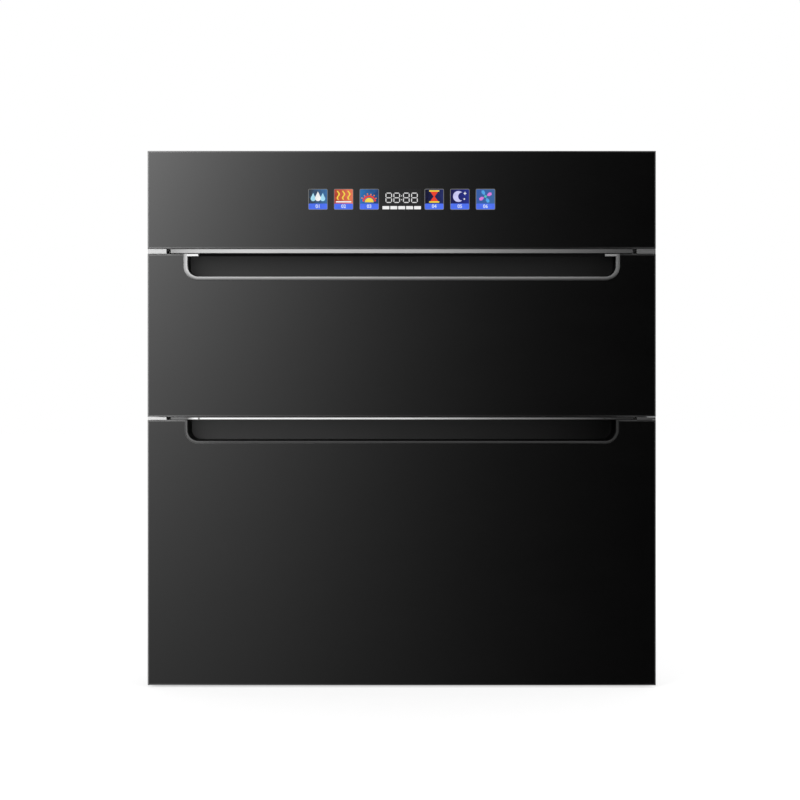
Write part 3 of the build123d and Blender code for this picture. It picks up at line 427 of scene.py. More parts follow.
def make_coated_steel():
    """Pre-coated galvanised sheet: faint spangle, slight orange peel and handling marks."""
    material, tree, shader = new_material("casing_steel", Metallic=0.55, Specular_IOR_Level=0.5)
    cells = tree.nodes.new("ShaderNodeTexVoronoi")
    cells.inputs["Scale"].default_value = 140.0
    tree.links.new(place(tree), cells.inputs["Vector"])
    marks = noise(tree, scale=7.0, detail=5.0, roughness=0.6)
    tone = mix_values(tree, 0.65, cells.outputs["Color"], marks)
    feed(
        shader,
        Base_Color=tint(tree, tone, (0.40, 0.41, 0.42), (0.56, 0.57, 0.58), WIDE),
        Roughness=follow(tree, marks, 0.38, 0.52),
        Normal=bump(tree, noise(tree, scale=600.0, detail=2.0), 0.12, 0.2 * MM),
    )
    return material


def make_board():
    """Circuit board: green lacquer over copper runs."""
    material, tree, shader = new_material("circuit_board", Coat_Weight=0.4, Coat_Roughness=0.2)
    bricks = tree.nodes.new("ShaderNodeTexBrick")
    bricks.inputs["Scale"].default_value = 90.0
    bricks.inputs["Mortar Size"].default_value = 0.03
    bricks.inputs["Color1"].default_value = (0.010, 0.075, 0.026, 1.0)
    bricks.inputs["Color2"].default_value = (0.014, 0.095, 0.034, 1.0)
    bricks.inputs["Mortar"].default_value = (0.05, 0.20, 0.07, 1.0)
    tree.links.new(place(tree), bricks.inputs["Vector"])
    feed(
        shader,
        Base_Color=bricks.outputs["Color"],
        Roughness=follow(tree, noise(tree, scale=60.0), 0.35, 0.5),
        Normal=bump(tree, bricks.outputs["Fac"], 0.3, 0.1 * MM),
    )
    return material


def drawn_streaks(tree):
    """Faint streaks along a drawn glass tube."""
    return noise(tree, scale=1.0, vector=stretched(tree, DRAWN_ALONG_X))


def make_quartz():
    """Quartz glass of the heating tubes."""
    material, tree, shader = new_material("quartz", Transmission_Weight=0.85, IOR=GLASS_IOR)
    streaks = drawn_streaks(tree)
    colour = (0.92, 0.90, 0.86)
    feed(
        shader,
        Base_Color=tint(tree, streaks, dimmed(colour, 0.9), colour),
        Roughness=follow(tree, streaks, 0.12, 0.24),
    )
    return material


def make_lamp_glass():
    """The ultraviolet lamp: clear glass between two white plastic sockets."""
    material, tree, shader = new_material("lamp_glass", IOR=GLASS_IOR)
    along = math_node(tree, "ABSOLUTE", split(tree, place(tree))["X"])
    socket = span(tree, along, LAMP_HALF, LAMP_HALF + CREASE)
    glass = tint(tree, drawn_streaks(tree), (0.82, 0.86, 0.90), (0.93, 0.95, 0.98))
    plastic = tint(tree, noise(tree, scale=60.0), grey(0.70), grey(0.76))
    feed(
        shader,
        Base_Color=mix_colours(tree, socket, glass, plastic),
        Transmission_Weight=mix_values(tree, socket, 0.55, 0.0),
        Roughness=mix_values(tree, socket, 0.06, 0.45),
    )
    return material


def make_wool():
    """Mineral wool felt."""
    material, tree, shader = new_material("mineral_wool", Specular_IOR_Level=0.1, Roughness=0.95)
    fibres = noise(tree, scale=900.0, detail=6.0, roughness=0.7, vector=stretched(tree, FELTED_ALONG_Y))
    feed(
        shader,
        Base_Color=tint(tree, fibres, (0.42, 0.38, 0.28), (0.72, 0.68, 0.55), NARROW),
        Normal=bump(tree, fibres, 0.9, 1.0 * MM),
    )
    return material


def make_lit(name, colour):
    """A lit patch of the display: an even glow with the fine unevenness of a diffuser."""
    material, tree, shader = new_material(name, **LIT)
    glow = noise(tree, scale=260.0, detail=2.0)
    feed(shader, Emission_Color=tint(tree, glow, dimmed(colour, 0.88), colour, NARROW))
    return material


def make_lit_blend(name, left_colour, right_colour, left, right):
    """A lit picture ground that goes from one colour to another, with cloudy patches."""
    material, tree, shader = new_material(name, **LIT)
    along = span(tree, split(tree, place(tree))["X"], left, right)
    cloud = math_node(tree, "SUBTRACT", noise(tree, scale=320.0, detail=4.0), NOISE_MIDDLE)
    mixed = math_node(tree, "ADD", along, math_node(tree, "MULTIPLY", cloud, 0.9), clamp=True)
    feed(shader, Emission_Color=ramp(tree, mixed, (0.0, left_colour), (1.0, right_colour)))
    return material


# ------------ the cabinet's materials
# Painted light along the front, as (x in mm, level): a painted reflection of the studio light on each metal
# and pocket back, mostly bright at the left and dark at the right; the lower lip's tones also paint a
# highlight over its middle.
STRIP_TONES = ((-267, 0.265), (-239, 0.41), (-182, 0.48), (28, 0.40), (127, 0.25), (267, 0.091))
DARK_STRIP_TONES = ((-262, 0.138), (0, 0.080), (260, 0.028))
LIP_TONES = ((-251, 0.13), (-242, 0.95), (-112, 1.0), (0, 0.95), (113, 0.41), (251, 0.057))
UPPER_BLOCK_TONES = ((-287, 0.43), (287, 0.168))
LOWER_BLOCK_TONES = ((-287, 0.58), (287, 0.082))
UPPER_TRIM_TONES = ((-250, 0.45), (0, 0.45), (185, 0.345), (255, 0.235))
LOWER_TRIM_TONES = ((-250, 0.106), (-201, 0.068), (0, 0.054), (225, 0.050), (250, 0.035))
UPPER_POCKET_TONES = ((-240, 0.093), (0, 0.045), (240, 0.019))
LOWER_POCKET_TONES = ((-240, 0.104), (0, 0.045), (240, 0.006))

# Painted shade at the top and bottom edges of the upper strip and of the lower lip.
strip_shade = painted_edge_shade("upper_handle_cap", reach=1.1 * MM, low_level=0.15, high_level=0.6)
lip_shade = painted_edge_shade("lower_handle_lip", reach=1.1 * MM, low_level=0.08, high_level=0.10)
upper_trim_shade = painted_rim_shade(
    "upper_pocket_trim",
    radius=17.1 * MM,
    width=4.3 * MM,
    leg_level=0.5,
    foot_level=0.1,
    tab_height=3.0 * MM,
    leg_width=4.2 * MM,
)
chrome_wire = make_bright_metal("chrome_wire", (0.80, 0.80, 0.80), 0.14)
coil_metal = make_bright_metal("coil_metal", (0.34, 0.31, 0.28), 0.4)
bright_screw = make_bright_metal("bright_screw", (0.62, 0.63, 0.65), 0.25)
black_plastic = make_moulded("black_plastic", (0.016, 0.016, 0.017), 0.42)
# Near-black painted shade for the upper handle's lip, which hangs in shadow under the strip.
lip_shade_black = make_moulded("lip_shade_black", (0.0016, 0.0016, 0.0017), 0.6, depth=0.08, specular=0.05)

FAN_NODES = ("fan_housing", "fan_motor", "fan_impeller")


def of_drawers(*parts):
    """The names of some nodes that both drawers have."""
    return [f"{drawer}_{part}" for drawer in DRAWERS for part in parts]


SURFACES = (
    (make_glass_panel("control_glass"), ["control_glass"]),
    (make_glass_panel("upper_glass"), ["upper_glass"]),
    (make_glass_panel("lower_glass"), ["lower_glass"]),
    # The graded metals below carry painted light along the front, and the strip, the lower lip and the upper
    # trim carry painted shade too.
    (make_graded("strip_metal", 0.30, STRIP_TONES, strip_shade), ["upper_handle_cap"]),
    (make_graded("dark_strip_metal", 0.34, DARK_STRIP_TONES), ["lower_handle_cap"]),
    (make_graded("lip_metal", 0.25, LIP_TONES, lip_shade), ["lower_handle_lip"]),
    (make_graded("upper_block_metal", 0.28, UPPER_BLOCK_TONES), ["upper_end_blocks"]),
    (make_graded("lower_block_metal", 0.28, LOWER_BLOCK_TONES), ["lower_end_blocks"]),
    (make_graded("upper_trim_metal", 0.30, UPPER_TRIM_TONES, upper_trim_shade), ["upper_pocket_trim"]),
    (make_graded("lower_trim_metal", 0.36, LOWER_TRIM_TONES), ["lower_pocket_trim"]),
    (make_pocket_plastic("upper_pocket_plastic", UPPER_POCKET_TONES), ["upper_pocket_tray"]),
    (make_pocket_plastic("lower_pocket_plastic", LOWER_POCKET_TONES), ["lower_pocket_tray"]),
    # The upper lip takes the near-black painted shade.
    (lip_shade_black, ["upper_handle_lip"]),
    (make_moulded("clock_ground", (0.006, 0.006, 0.007), 0.12, depth=0.02), ["clock_lens"]),
    (
        make_brushed("stainless", (0.60, 0.60, 0.59), 0.34),
        ["front_frame", "uv_lamp_guard", "drip_tray", *of_drawers("liner", "door_liner", "cradle")],
    ),
    (
        make_brushed("zinc_steel", (0.56, 0.57, 0.59), 0.36, BRUSHED_ALONG_Y),
        of_drawers("outer_slides", "middle_slides", "inner_slides"),
    ),
    (make_brushed("heater_aluminium", (0.58, 0.58, 0.56), 0.45), ["air_heater"]),
    (chrome_wire, ["tube_guard", "temperature_probe", *of_drawers("basket", "loops")]),
    (
        make_coated_steel(),
        ["left_side_panel", "right_side_panel", "top_panel", "base_tray", "back_panel", "component_tray"],
    ),
    (
        black_plastic,
        ["control_housing", "door_switches", "icon_tiles", *FAN_NODES, *of_drawers("door_frame")],
    ),
    (make_moulded("black_rubber", (0.022, 0.022, 0.022), 0.75, grain=900.0), ["feet", "cable_grommet"]),
    (
        make_moulded("grey_silicone", (0.16, 0.16, 0.165), 0.55, grain=500.0, depth=0.15),
        of_drawers("gasket"),
    ),
    (make_moulded("white_ceramic", (0.78, 0.77, 0.73), 0.6, grain=700.0), ["tube_holders"]),
    (make_board(), ["touch_board", "power_board"]),
    (make_quartz(), ["heating_tubes"]),
    (make_lamp_glass(), ["uv_lamp"]),
    (make_wool(), ["insulation"]),
)
for surface, names in SURFACES:
    for name in names:
        mesh = nodes[name].data
        mesh.materials.clear()
        mesh.materials.append(surface)


# ------------ mesh helpers
WIRE_SIDES = 12
DOME = 0.3
BEND_STEPS = 6


def add_object(name, data, body, spot=None):
    """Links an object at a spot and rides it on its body."""
    piece = bpy.data.objects.new(name, data)
    if spot is not None:
        piece.matrix_world = spot
    bpy.context.scene.collection.objects.link(piece)
    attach(piece, body)
    return piece


def add_shape(name, shape, material, body):
    """Makes an object of a finished bmesh."""
    bmesh.ops.recalc_face_normals(shape, faces=shape.faces)
    mesh = bpy.data.meshes.new(name)
    shape.to_mesh(mesh)
    shape.free()
    mesh.materials.append(material)
    return add_object(name, mesh, body)


def spread(first, last, count):
    """Evenly spaced values from first to last."""
    return [first + (last - first) * step / (count - 1) for step in range(count)]


def full_turn(count):
    """Evenly spaced angles of a full turn."""
    return [2 * math.pi * step / count for step in range(count)]


def rounded_route(points, bend, closed=False):
    """A route through the points with its corners eased over the bend's length."""
    spots = [Vector(point) for point in points]
    count = len(spots)
    route = []
    for index, corner in enumerate(spots):
        if not closed and index in (0, count - 1):
            route.append(corner)
            continue
        start = corner + (spots[index - 1] - corner).normalized() * bend
        end = corner + (spots[(index + 1) % count] - corner).normalized() * bend
        for t in spread(0.0, 1.0, BEND_STEPS + 1):
            route.append(start * (1 - t) ** 2 + corner * 2 * t * (1 - t) + end * t**2)
    return route


def add_stack(shape, rings, smooth, closed=False):
    """Joins rings of points. Both ends are capped, unless the last ring is joined to the first."""
    loops = [[shape.verts.new(point) for point in ring] for ring in rings]
    pairs = list(zip(loops, loops[1:]))
    if closed:
        pairs.append((loops[-1], loops[0]))
    for first, second in pairs:
        for step in range(len(first)):
            after = (step + 1) % len(first)
            shape.faces.new((first[step], first[after], second[after], second[step])).smooth = smooth
    if not closed:
        shape.faces.new(loops[0][::-1])
        shape.faces.new(loops[-1])


def add_wire(shape, route, radius, closed):
    """Sweeps a round section along a route. Open ends are slightly domed."""
    behind = [route[-1] if closed else route[0], *route[:-1]]
    ahead = [*route[1:], route[0] if closed else route[-1]]
    tangents = [(after - before).normalized() for before, after in zip(behind, ahead)]
    normal = tangents[0].orthogonal().normalized()
    rings = []
    for index, (spot, tangent) in enumerate(zip(route, tangents)):
        if index:
            normal = tangents[index - 1].rotation_difference(tangent) @ normal
        side = tangent.cross(normal)
        ways = [normal * math.cos(turn) + side * math.sin(turn) for turn in full_turn(WIRE_SIDES)]
        rings.append([spot + way * radius for way in ways])
    if not closed:
        rise = DOME * radius
        first = [point.lerp(route[0], DOME) - tangents[0] * rise for point in rings[0]]
        last = [point.lerp(route[-1], DOME) + tangents[-1] * rise for point in rings[-1]]
        rings = [first, *rings, last]
    add_stack(shape, rings, smooth=True, closed=closed)


def add_wires(name, wires, material, body):
    """One object from wires of (route, radius, closed)."""
    shape = bmesh.new()
    for route, radius, closed in wires:
        add_wire(shape, route, radius, closed)
    return add_shape(name, shape, material, body)


def straight(start, end, radius):
    """A straight wire between two points."""
    return ([Vector(start), Vector(end)], radius, False)


# ------------ round wires in place of the plain six-sided ones
HEX_REACH = 1 / math.cos(math.radians(30))
RIM, THIN = 2.5 * MM, 1.75 * MM
RIM_BEND = 14.0 * MM
RUNNERS, CROSS_WIRES, END_POSTS = 4, 13, 6
LOOP_OVERHANG, LOOP_DEPTH, LOOP_BEND = 8.0 * MM, 70.0 * MM, 12.0 * MM
GUARD_RIM, GUARD_BAR = 2.0 * MM, 1.5 * MM
GUARD_BARS, GUARD_BEND = 9, 10.0 * MM
GUARD_BAR_INSET, GUARD_END_SHIFT = 3.0 * MM, 8.0 * MM
COIL_RADIUS, COIL_WIRE, COIL_INSET = 3.4 * MM, 0.4 * MM, 22.0 * MM
COIL_TURNS, COIL_STEPS = 74, 10


def replace_with_wires(node, name, wires, body):
    """Puts round chromed wires in the place of a CAD node."""
    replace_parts(add_wires(name, wires, chrome_wire, body), node)


def smooth_basket(drawer):
    """A drawer's basket: flat grid, two rims with round corners, and the posts between them."""
    low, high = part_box(f"{drawer}_basket")
    reach = RIM * HEX_REACH
    left, right, front, rear = low.x + reach, high.x - reach, low.y + reach, high.y - reach
    runner_z = low.z + RIM
    cross_z = low.z + 2 * RIM + THIN
    base_z, top_z = cross_z + THIN + RIM, high.z - RIM
    runner_ys = spread(front + 2 * RIM, rear - 2 * RIM, RUNNERS)
    cross_xs = spread(left + 2 * THIN, right - 2 * THIN, CROSS_WIRES)
    wires = [straight((left, y, runner_z), (right, y, runner_z), RIM) for y in runner_ys]
    wires += [straight((x, front, cross_z), (x, rear, cross_z), THIN) for x in cross_xs]
    for z in (base_z, top_z):
        corners = [(left, front, z), (right, front, z), (right, rear, z), (left, rear, z)]
        wires.append((rounded_route(corners, RIM_BEND, closed=True), RIM, True))
    post_ys = (front + RIM_BEND, *runner_ys[1:-1], rear - RIM_BEND)
    post_xs = (left + RIM_BEND, *spread(left + 4 * RIM, right - 4 * RIM, END_POSTS)[1:-1], right - RIM_BEND)
    posts = [(x, y) for x in (left, right) for y in post_ys]
    posts += [(x, y) for y in (front, rear) for x in post_xs]
    wires += [straight((x, y, base_z), (x, y, top_z), THIN) for x, y in posts]
    replace_with_wires(f"{drawer}_basket", f"{drawer}_basket_wires", wires, f"{drawer}_drawer")


def smooth_loops(drawer, count):
    """A drawer's plate or bowl loops on their carrier wires."""
    low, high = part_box(f"{drawer}_loops")
    carrier_z, top_z = low.z + THIN, high.z - THIN
    front, rear = low.y + THIN * HEX_REACH, high.y - THIN * HEX_REACH
    wires = []
    for start, end in ((front, front + LOOP_DEPTH), (rear - LOOP_DEPTH, rear)):
        wires += [straight((low.x, y, carrier_z), (high.x, y, carrier_z), THIN) for y in (start, end)]
        for x in spread(low.x + LOOP_OVERHANG, high.x - LOOP_OVERHANG, count):
            corners = [(x, start, carrier_z), (x, start, top_z), (x, end, top_z), (x, end, carrier_z)]
            wires.append((rounded_route(corners, LOOP_BEND), THIN, False))
    replace_with_wires(f"{drawer}_loops", f"{drawer}_loop_wires", wires, f"{drawer}_drawer")


def smooth_guard():
    """The guard in front of the heating tubes: two bent frame wires and nine bars."""
    low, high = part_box("tube_guard")
    leg_x = high.x - GUARD_RIM * HEX_REACH
    front, back = low.y + GUARD_RIM * HEX_REACH, high.y
    levels = (low.z + GUARD_RIM, high.z - GUARD_RIM)
    wires = []
    for z in levels:
        corners = [(-leg_x, back, z), (-leg_x, front, z), (leg_x, front, z), (leg_x, back, z)]
        wires.append((rounded_route(corners, GUARD_BEND), GUARD_RIM, False))
    bar_end = leg_x - GUARD_BAR_INSET
    inner_xs = spread(-bar_end, bar_end, GUARD_BARS)[1:-1]
    wires += [
        straight((x, front, levels[0]), (x, front, levels[1]), GUARD_BAR)
        for x in (GUARD_END_SHIFT - bar_end, *inner_xs, bar_end - GUARD_END_SHIFT)
    ]
    replace_with_wires("tube_guard", "tube_guard_wires", wires, CABINET)


def heater_coils():
    """The resistance coil inside each quartz tube."""
    low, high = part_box("heating_tubes")
    tube_radius = (high.y - low.y) / 2
    middle_y = (low.y + high.y) / 2
    end = high.x - COIL_INSET
    wires = []
    for z in (low.z + tube_radius, high.z - tube_radius):
        route = []
        for step, x in enumerate(spread(-end, end, COIL_TURNS * COIL_STEPS + 1)):
            angle = 2 * math.pi * step / COIL_STEPS
            aside, above = COIL_RADIUS * math.cos(angle), COIL_RADIUS * math.sin(angle)
            route.append(Vector((x, middle_y + aside, z + above)))
        wires.append((route, COIL_WIRE, False))
    add_wires("heater_coils", wires, coil_metal, CABINET)


smooth_basket("upper")
smooth_basket("lower")
smooth_loops("upper", 7)
smooth_loops("lower", 9)
smooth_guard()
heater_coils()

# ------------ screws of the casing
SCREW_RADIUS, SCREW_RISE, SCREW_SIDES = 3.4 * MM, 1.4 * MM, 20
SCREW_INSET = 8.0 * MM
BACK_SCREWS, SIDE_SCREWS = 4, 3
RECESS_REACH, RECESS_HALF = 1.5 * MM, 0.32 * MM
RECESS_PROUD, RECESS_DEPTH = 0.03 * MM, 0.4 * MM


def screw_frames():
    """A frame for each screw of the casing. Its own Z points out of the panel."""
    low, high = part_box("back_panel")
    side_low, side_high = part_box("right_side_panel")
    inset = SCREW_INSET
    spots = [
        (x, high.y, z)
        for x in (low.x + inset, high.x - inset)
        for z in spread(low.z + 5 * inset, high.z - 5 * inset, BACK_SCREWS)
    ]
    spots += [
        (x, high.y, z)
        for z in (low.z + inset, high.z - inset)
        for x in spread(low.x + 8 * inset, high.x - 8 * inset, BACK_SCREWS)
    ]
    out_back = Matrix.Rotation(math.radians(-90), 4, "X")
    frames = [Matrix.Translation(spot) @ out_back for spot in spots]
    for side in (-1, 1):
        out_side = Matrix.Rotation(math.radians(90 * side), 4, "Y")
        frames += [
            Matrix.Translation((side * side_high.x, y, z)) @ out_side
            for z in (side_low.z + inset, side_high.z - inset)
            for y in spread(side_low.y + 4 * inset, side_high.y - 4 * inset, SIDE_SCREWS)
        ]
    frames += [
        Matrix.Translation((x, y, high.z))
        for x in (3 * inset - side_high.x, side_high.x - 3 * inset)
        for y in spread(side_low.y + 3 * inset, side_high.y - 3 * inset, SIDE_SCREWS)
    ]
    return frames


def make_screws():
    """Pan heads, and a dark inlay in each for the cross recess: painted shade where the hollow would be."""
    heads, recess_shades = bmesh.new(), bmesh.new()
    profile = [
        (wide * SCREW_RADIUS, tall * SCREW_RISE)
        for wide, tall in ((1.0, 0.0), (1.0, 0.45), (0.82, 0.85), (0.5, 1.0))
    ]
    arm = [(RECESS_HALF, RECESS_HALF), (RECESS_HALF, RECESS_REACH), (-RECESS_HALF, RECESS_REACH)]
    cross = []
    for _ in range(4):
        cross += arm
        arm = [(-y, x) for x, y in arm]
    top = SCREW_RISE + RECESS_PROUD
    turns = full_turn(SCREW_SIDES)
    for screw in screw_frames():
        head = [
            [screw @ Vector((reach * math.cos(turn), reach * math.sin(turn), z)) for turn in turns]
            for reach, z in profile
        ]
        add_stack(heads, head, smooth=True)
        recess = [[screw @ Vector((x, y, z)) for x, y in cross] for z in (top - RECESS_DEPTH, top)]
        add_stack(recess_shades, recess, smooth=False)
    add_shape("casing_screws", heads, bright_screw, CABINET)
    add_shape("casing_screw_recess_shades", recess_shades, black_plastic, CABINET)


make_screws()

# ------------ outlines of the lit display
tile_low, tile_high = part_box("icon_tiles")
GLASS_FRONT = tile_low.y
LAYER = 0.05 * MM


def depth(layers):
    """The depth of a display layer in front of the glass."""
    return GLASS_FRONT - layers * LAYER


def plates(name, outlines, back_layer, front_layer, material):
    """Flat shapes of the display between two of its layers. Each outline is a list of (x, z)."""
    shape = bmesh.new()
    rise = depth(front_layer) - depth(back_layer)
    for outline in outlines:
        face = shape.faces.new([shape.verts.new((x, depth(back_layer), z)) for x, z in outline])
        raised = bmesh.ops.extrude_face_region(shape, geom=[face])
        moved = [item for item in raised["geom"] if isinstance(item, bmesh.types.BMVert)]
        bmesh.ops.translate(shape, verts=moved, vec=(0.0, rise, 0.0))
    add_shape(name, shape, material, CABINET)


def arc(centre, radius, start, end, steps):
    """Points on an arc, in degrees from +X."""
    x, z = centre
    angles = [math.radians(angle) for angle in spread(start, end, steps + 1)]
    return [(x + radius * math.cos(angle), z + radius * math.sin(angle)) for angle in angles]


def disc(centre, radius, steps):
    """A full circle's outline."""
    return arc(centre, radius, 0, 360, steps)[:-1]


def rounded(left, right, bottom, top, radius):
    """A rectangle's outline with round corners."""
    corners = (
        ((right - radius, top - radius), 0),
        ((left + radius, top - radius), 90),
        ((left + radius, bottom + radius), 180),
        ((right - radius, bottom + radius), 270),
    )
    return [point for centre, start in corners for point in arc(centre, radius, start, start + 90, steps=5)]


def hoop(outer, inner):
    """The quads between two outlines with as many points each."""
    pairs = list(zip(outer, inner))
    following = pairs[1:] + pairs[:1]
    return [[first[0], second[0], second[1], first[1]] for first, second in zip(pairs, following)]


def bow(centre, radius, width, start, end, steps):
    """A band that follows an arc."""
    return arc(centre, radius, start, end, steps) + arc(centre, radius - width, end, start, steps)


def upright_wave(centre, length, width, turns, lift, steps=24):
    """An upright wavy stroke."""
    x, z = centre
    middle = [
        (x - lift * math.sin(2 * math.pi * turns * step / steps), z + length * (step / steps - 0.5))
        for step in range(steps + 1)
    ]
    return [(a - width / 2, b) for a, b in middle] + [(a + width / 2, b) for a, b in middle[::-1]]


def drop(centre, size):
    """A water drop with its tip up."""
    return arc(centre, size, 150, 390, steps=20) + [(centre[0], centre[1] + 2.3 * size)]


def star(centre, outer, inner):
    """A star with four points."""
    outline = []
    for step in range(8):
        radius = outer if step % 2 == 0 else inner
        angle = math.radians(90 + 45 * step)
        outline.append((centre[0] + radius * math.cos(angle), centre[1] + radius * math.sin(angle)))
    return outline


# ------------ pictures of the tiles, in mm round their middle
def picture_drops():
    """Three pale drops in a row."""
    aside, side_z, side_size = 5.6, -2.6, 2.9
    middle_z, middle_size = -2.0, 3.4
    return {
        "pale_blue": [drop((x, side_z), side_size) for x in (-aside, aside)],
        "white": [drop((0.0, middle_z), middle_size)],
    }


def picture_heat():
    """Three upright heat waves over a bar."""
    pitch, wave_z = 6.2, 1.4
    waves = [
        upright_wave((x, wave_z), length=10.5, width=1.7, turns=1.2, lift=1.1) for x in (-pitch, 0.0, pitch)
    ]
    return {"yellow": waves, "white": [rounded(left=-9.0, right=9.0, bottom=-7.0, top=-5.5, radius=0.6)]}


def picture_sun():
    """A low sun with its halo and rays."""
    centre = (0.0, -6.8)
    sun, halo, halo_width = 5.2, 8.0, 1.9
    ray_reaches, ray_length, ray_angle = (10.0, 10.6), 1.6, 8
    rays = [
        bow(centre, ray_reaches[index % 2], ray_length, start, start + ray_angle, steps=4)
        for index, start in enumerate((26, 50, 74, 98, 122, 146))
    ]
    return {
        "yellow": [arc(centre, sun, 0, 180, steps=24)],
        "red": [bow(centre, halo, halo_width, 8, 172, steps=20)],
        "orange": rays,
    }


def picture_hourglass():
    """An hourglass between two caps."""
    half, tall, neck = 4.6, 5.6, 0.6
    cap_half, cap_height, cap_corner = 6.0, 1.7, 0.7
    return {
        "red": [
            [(-half, tall), (half, tall), (neck, 0.0), (-neck, 0.0)],
            [(-neck, 0.0), (neck, 0.0), (half, -tall), (-half, -tall)],
        ],
        "yellow": [
            rounded(-cap_half, cap_half, bottom, bottom + cap_height, cap_corner)
            for bottom in (tall, -tall - cap_height)
        ],
    }


def picture_moon():
    """A crescent and two stars."""
    centre_x, radius, tip = -1.6, 6.4, 48
    hollow_x = 2.8
    tip_x = centre_x + radius * math.cos(math.radians(tip))
    tip_z = radius * math.sin(math.radians(tip))
    hollow_radius = math.hypot(tip_x - hollow_x, tip_z)
    hollow_tip = math.degrees(math.atan2(tip_z, tip_x - hollow_x))
    outside = arc((centre_x, 0.0), radius, tip, 360 - tip, steps=30)
    inside = arc((hollow_x, 0.0), hollow_radius, 360 - hollow_tip, hollow_tip, steps=26)[1:-1]
    return {
        "lilac": [outside + inside],
        "white": [star((6.0, 3.6), outer=2.3, inner=0.8), star((5.2, -3.0), outer=1.5, inner=0.55)],
    }


def picture_fan():
    """A fan with four blades round a hub."""
    blade = [(1.9, 0.0), (4.2, -2.0), (7.4, -1.9), (8.2, 0.6), (6.0, 1.9), (3.6, 1.3)]
    blades = []
    for angle in (30, 120, 210, 300):
        cos, sin = math.cos(math.radians(angle)), math.sin(math.radians(angle))
        blades.append([(a * cos - b * sin, a * sin + b * cos) for a, b in blade])
    return {"pink": blades[::2], "sky": blades[1::2], "teal": [disc((0.0, 0.0), 1.5, steps=20)]}


# ------------ the six touch tiles
DISPLAY_Z = (tile_low.z + tile_high.z) / 2
TILE_MARGIN = 0.15 * MM
TILE_WIDTH, TILE_HEIGHT = 22.6 * MM, tile_high.z - tile_low.z - 2 * TILE_MARGIN
TILE_CORNER = 1.5 * MM
TILE_BORDER = 0.55 * MM
TILE_PITCH = 30.0 * MM
TILE_LAST = tile_high.x - TILE_MARGIN - TILE_WIDTH / 2
BAND_HEIGHT = 7.2 * MM
NUMBER_SIZE, NUMBER_WEIGHT = 5.6 * MM, 0.12 * MM
DARK_GREY, DARK_NAVY = (0.035, 0.040, 0.045), (0.012, 0.012, 0.07)
LIT_COLOURS = {
    "pale_blue": (0.42, 0.78, 0.95),
    "white": (0.95, 0.95, 0.95),
    "yellow": (0.95, 0.72, 0.08),
    "red": (0.86, 0.06, 0.03),
    "orange": (0.90, 0.25, 0.05),
    "lilac": (0.62, 0.62, 0.95),
    "pink": (0.75, 0.22, 0.72),
    "sky": (0.10, 0.40, 0.85),
    "teal": (0.12, 0.62, 0.55),
    "band": (0.085, 0.18, 0.93),
    "caption": (0.74, 0.80, 1.0),
    "border": grey(0.22),
    "digit": grey(0.80),
}
PICTURES = (
    (picture_drops, DARK_GREY, (0.05, 0.16, 0.36)),
    (picture_heat, (0.42, 0.05, 0.03), (0.80, 0.20, 0.10)),
    (picture_sun, (0.03, 0.17, 0.45), (0.02, 0.05, 0.16)),
    (picture_hourglass, (0.006, 0.006, 0.020), (0.02, 0.03, 0.14)),
    (picture_moon, DARK_NAVY, (0.02, 0.03, 0.24)),
    (picture_fan, (0.04, 0.11, 0.38), (0.05, 0.14, 0.34)),
)
lit = {name: make_lit(f"lit_{name}", colour) for name, colour in LIT_COLOURS.items()}


def make_tile(number, x, picture, left_colour, right_colour):
    """One touch tile: its thin border, its picture and its numbered band."""
    left, right = x - TILE_WIDTH / 2, x + TILE_WIDTH / 2
    bottom, top = DISPLAY_Z - TILE_HEIGHT / 2, DISPLAY_Z + TILE_HEIGHT / 2
    band_top = bottom + BAND_HEIGHT
    edge = TILE_BORDER
    corner = TILE_CORNER - edge
    outer = rounded(left, right, bottom, top, TILE_CORNER)
    inner = rounded(left + edge, right - edge, bottom + edge, top - edge, corner)
    band = rounded(left + edge, right - edge, bottom + edge, band_top, corner)
    ground = make_lit_blend(f"picture_ground_{number}", left_colour, right_colour, left, right)
    plates(f"tile_border_{number}", hoop(outer, inner), 0, 3, lit["border"])
    plates(f"tile_ground_{number}", [inner], 0, 1, ground)
    plates(f"tile_band_{number}", [band], 1, 2, lit["band"])
    middle_z = (band_top + top - edge) / 2
    for colour, drawn in picture().items():
        outlines = [[(x + a * MM, middle_z + b * MM) for a, b in outline] for outline in drawn]
        plates(f"tile_{colour}_{number}", outlines, 1, 2, lit[colour])
    text = bpy.data.curves.new(f"tile_number_{number}", "FONT")
    text.body = number
    text.size = NUMBER_SIZE
    text.align_x = "CENTER"
    text.align_y = "CENTER"
    text.extrude = LAYER
    text.offset = NUMBER_WEIGHT
    text.materials.append(lit["caption"])
    upright = Matrix.Rotation(math.radians(90), 4, "X")
    spot = Matrix.Translation((x, depth(3), (bottom + edge + band_top) / 2)) @ upright
    add_object(f"tile_number_{number}", text, CABINET, spot)


right_xs = [TILE_LAST - step * TILE_PITCH for step in (2, 1, 0)]
tile_xs = [-x for x in right_xs[::-1]] + right_xs
for index, (x, (picture, left_colour, right_colour)) in enumerate(zip(tile_xs, PICTURES)):
    make_tile(f"{index + 1:02d}", x, picture, left_colour, right_colour)

# ------------ the clock
DIGIT_WIDTH, DIGIT_HEIGHT = 7.7 * MM, 12.0 * MM
DIGIT_STROKE, DIGIT_GAP = 1.05 * MM, 0.5 * MM
DIGIT_XS = (-15.1 * MM, -5.8 * MM, 5.4 * MM, 14.9 * MM)
DIGIT_Z = 573.0 * MM
COLON_X, COLON_LIFT, COLON_RADIUS = -0.2 * MM, 2.2 * MM, 0.6 * MM
BAR_WIDTH, BAR_HEIGHT, BAR_CORNER = 8.0 * MM, 3.7 * MM, 0.2 * MM
BAR_COUNT, BAR_PITCH = 5, 9.25 * MM
BAR_Z = 561.4 * MM


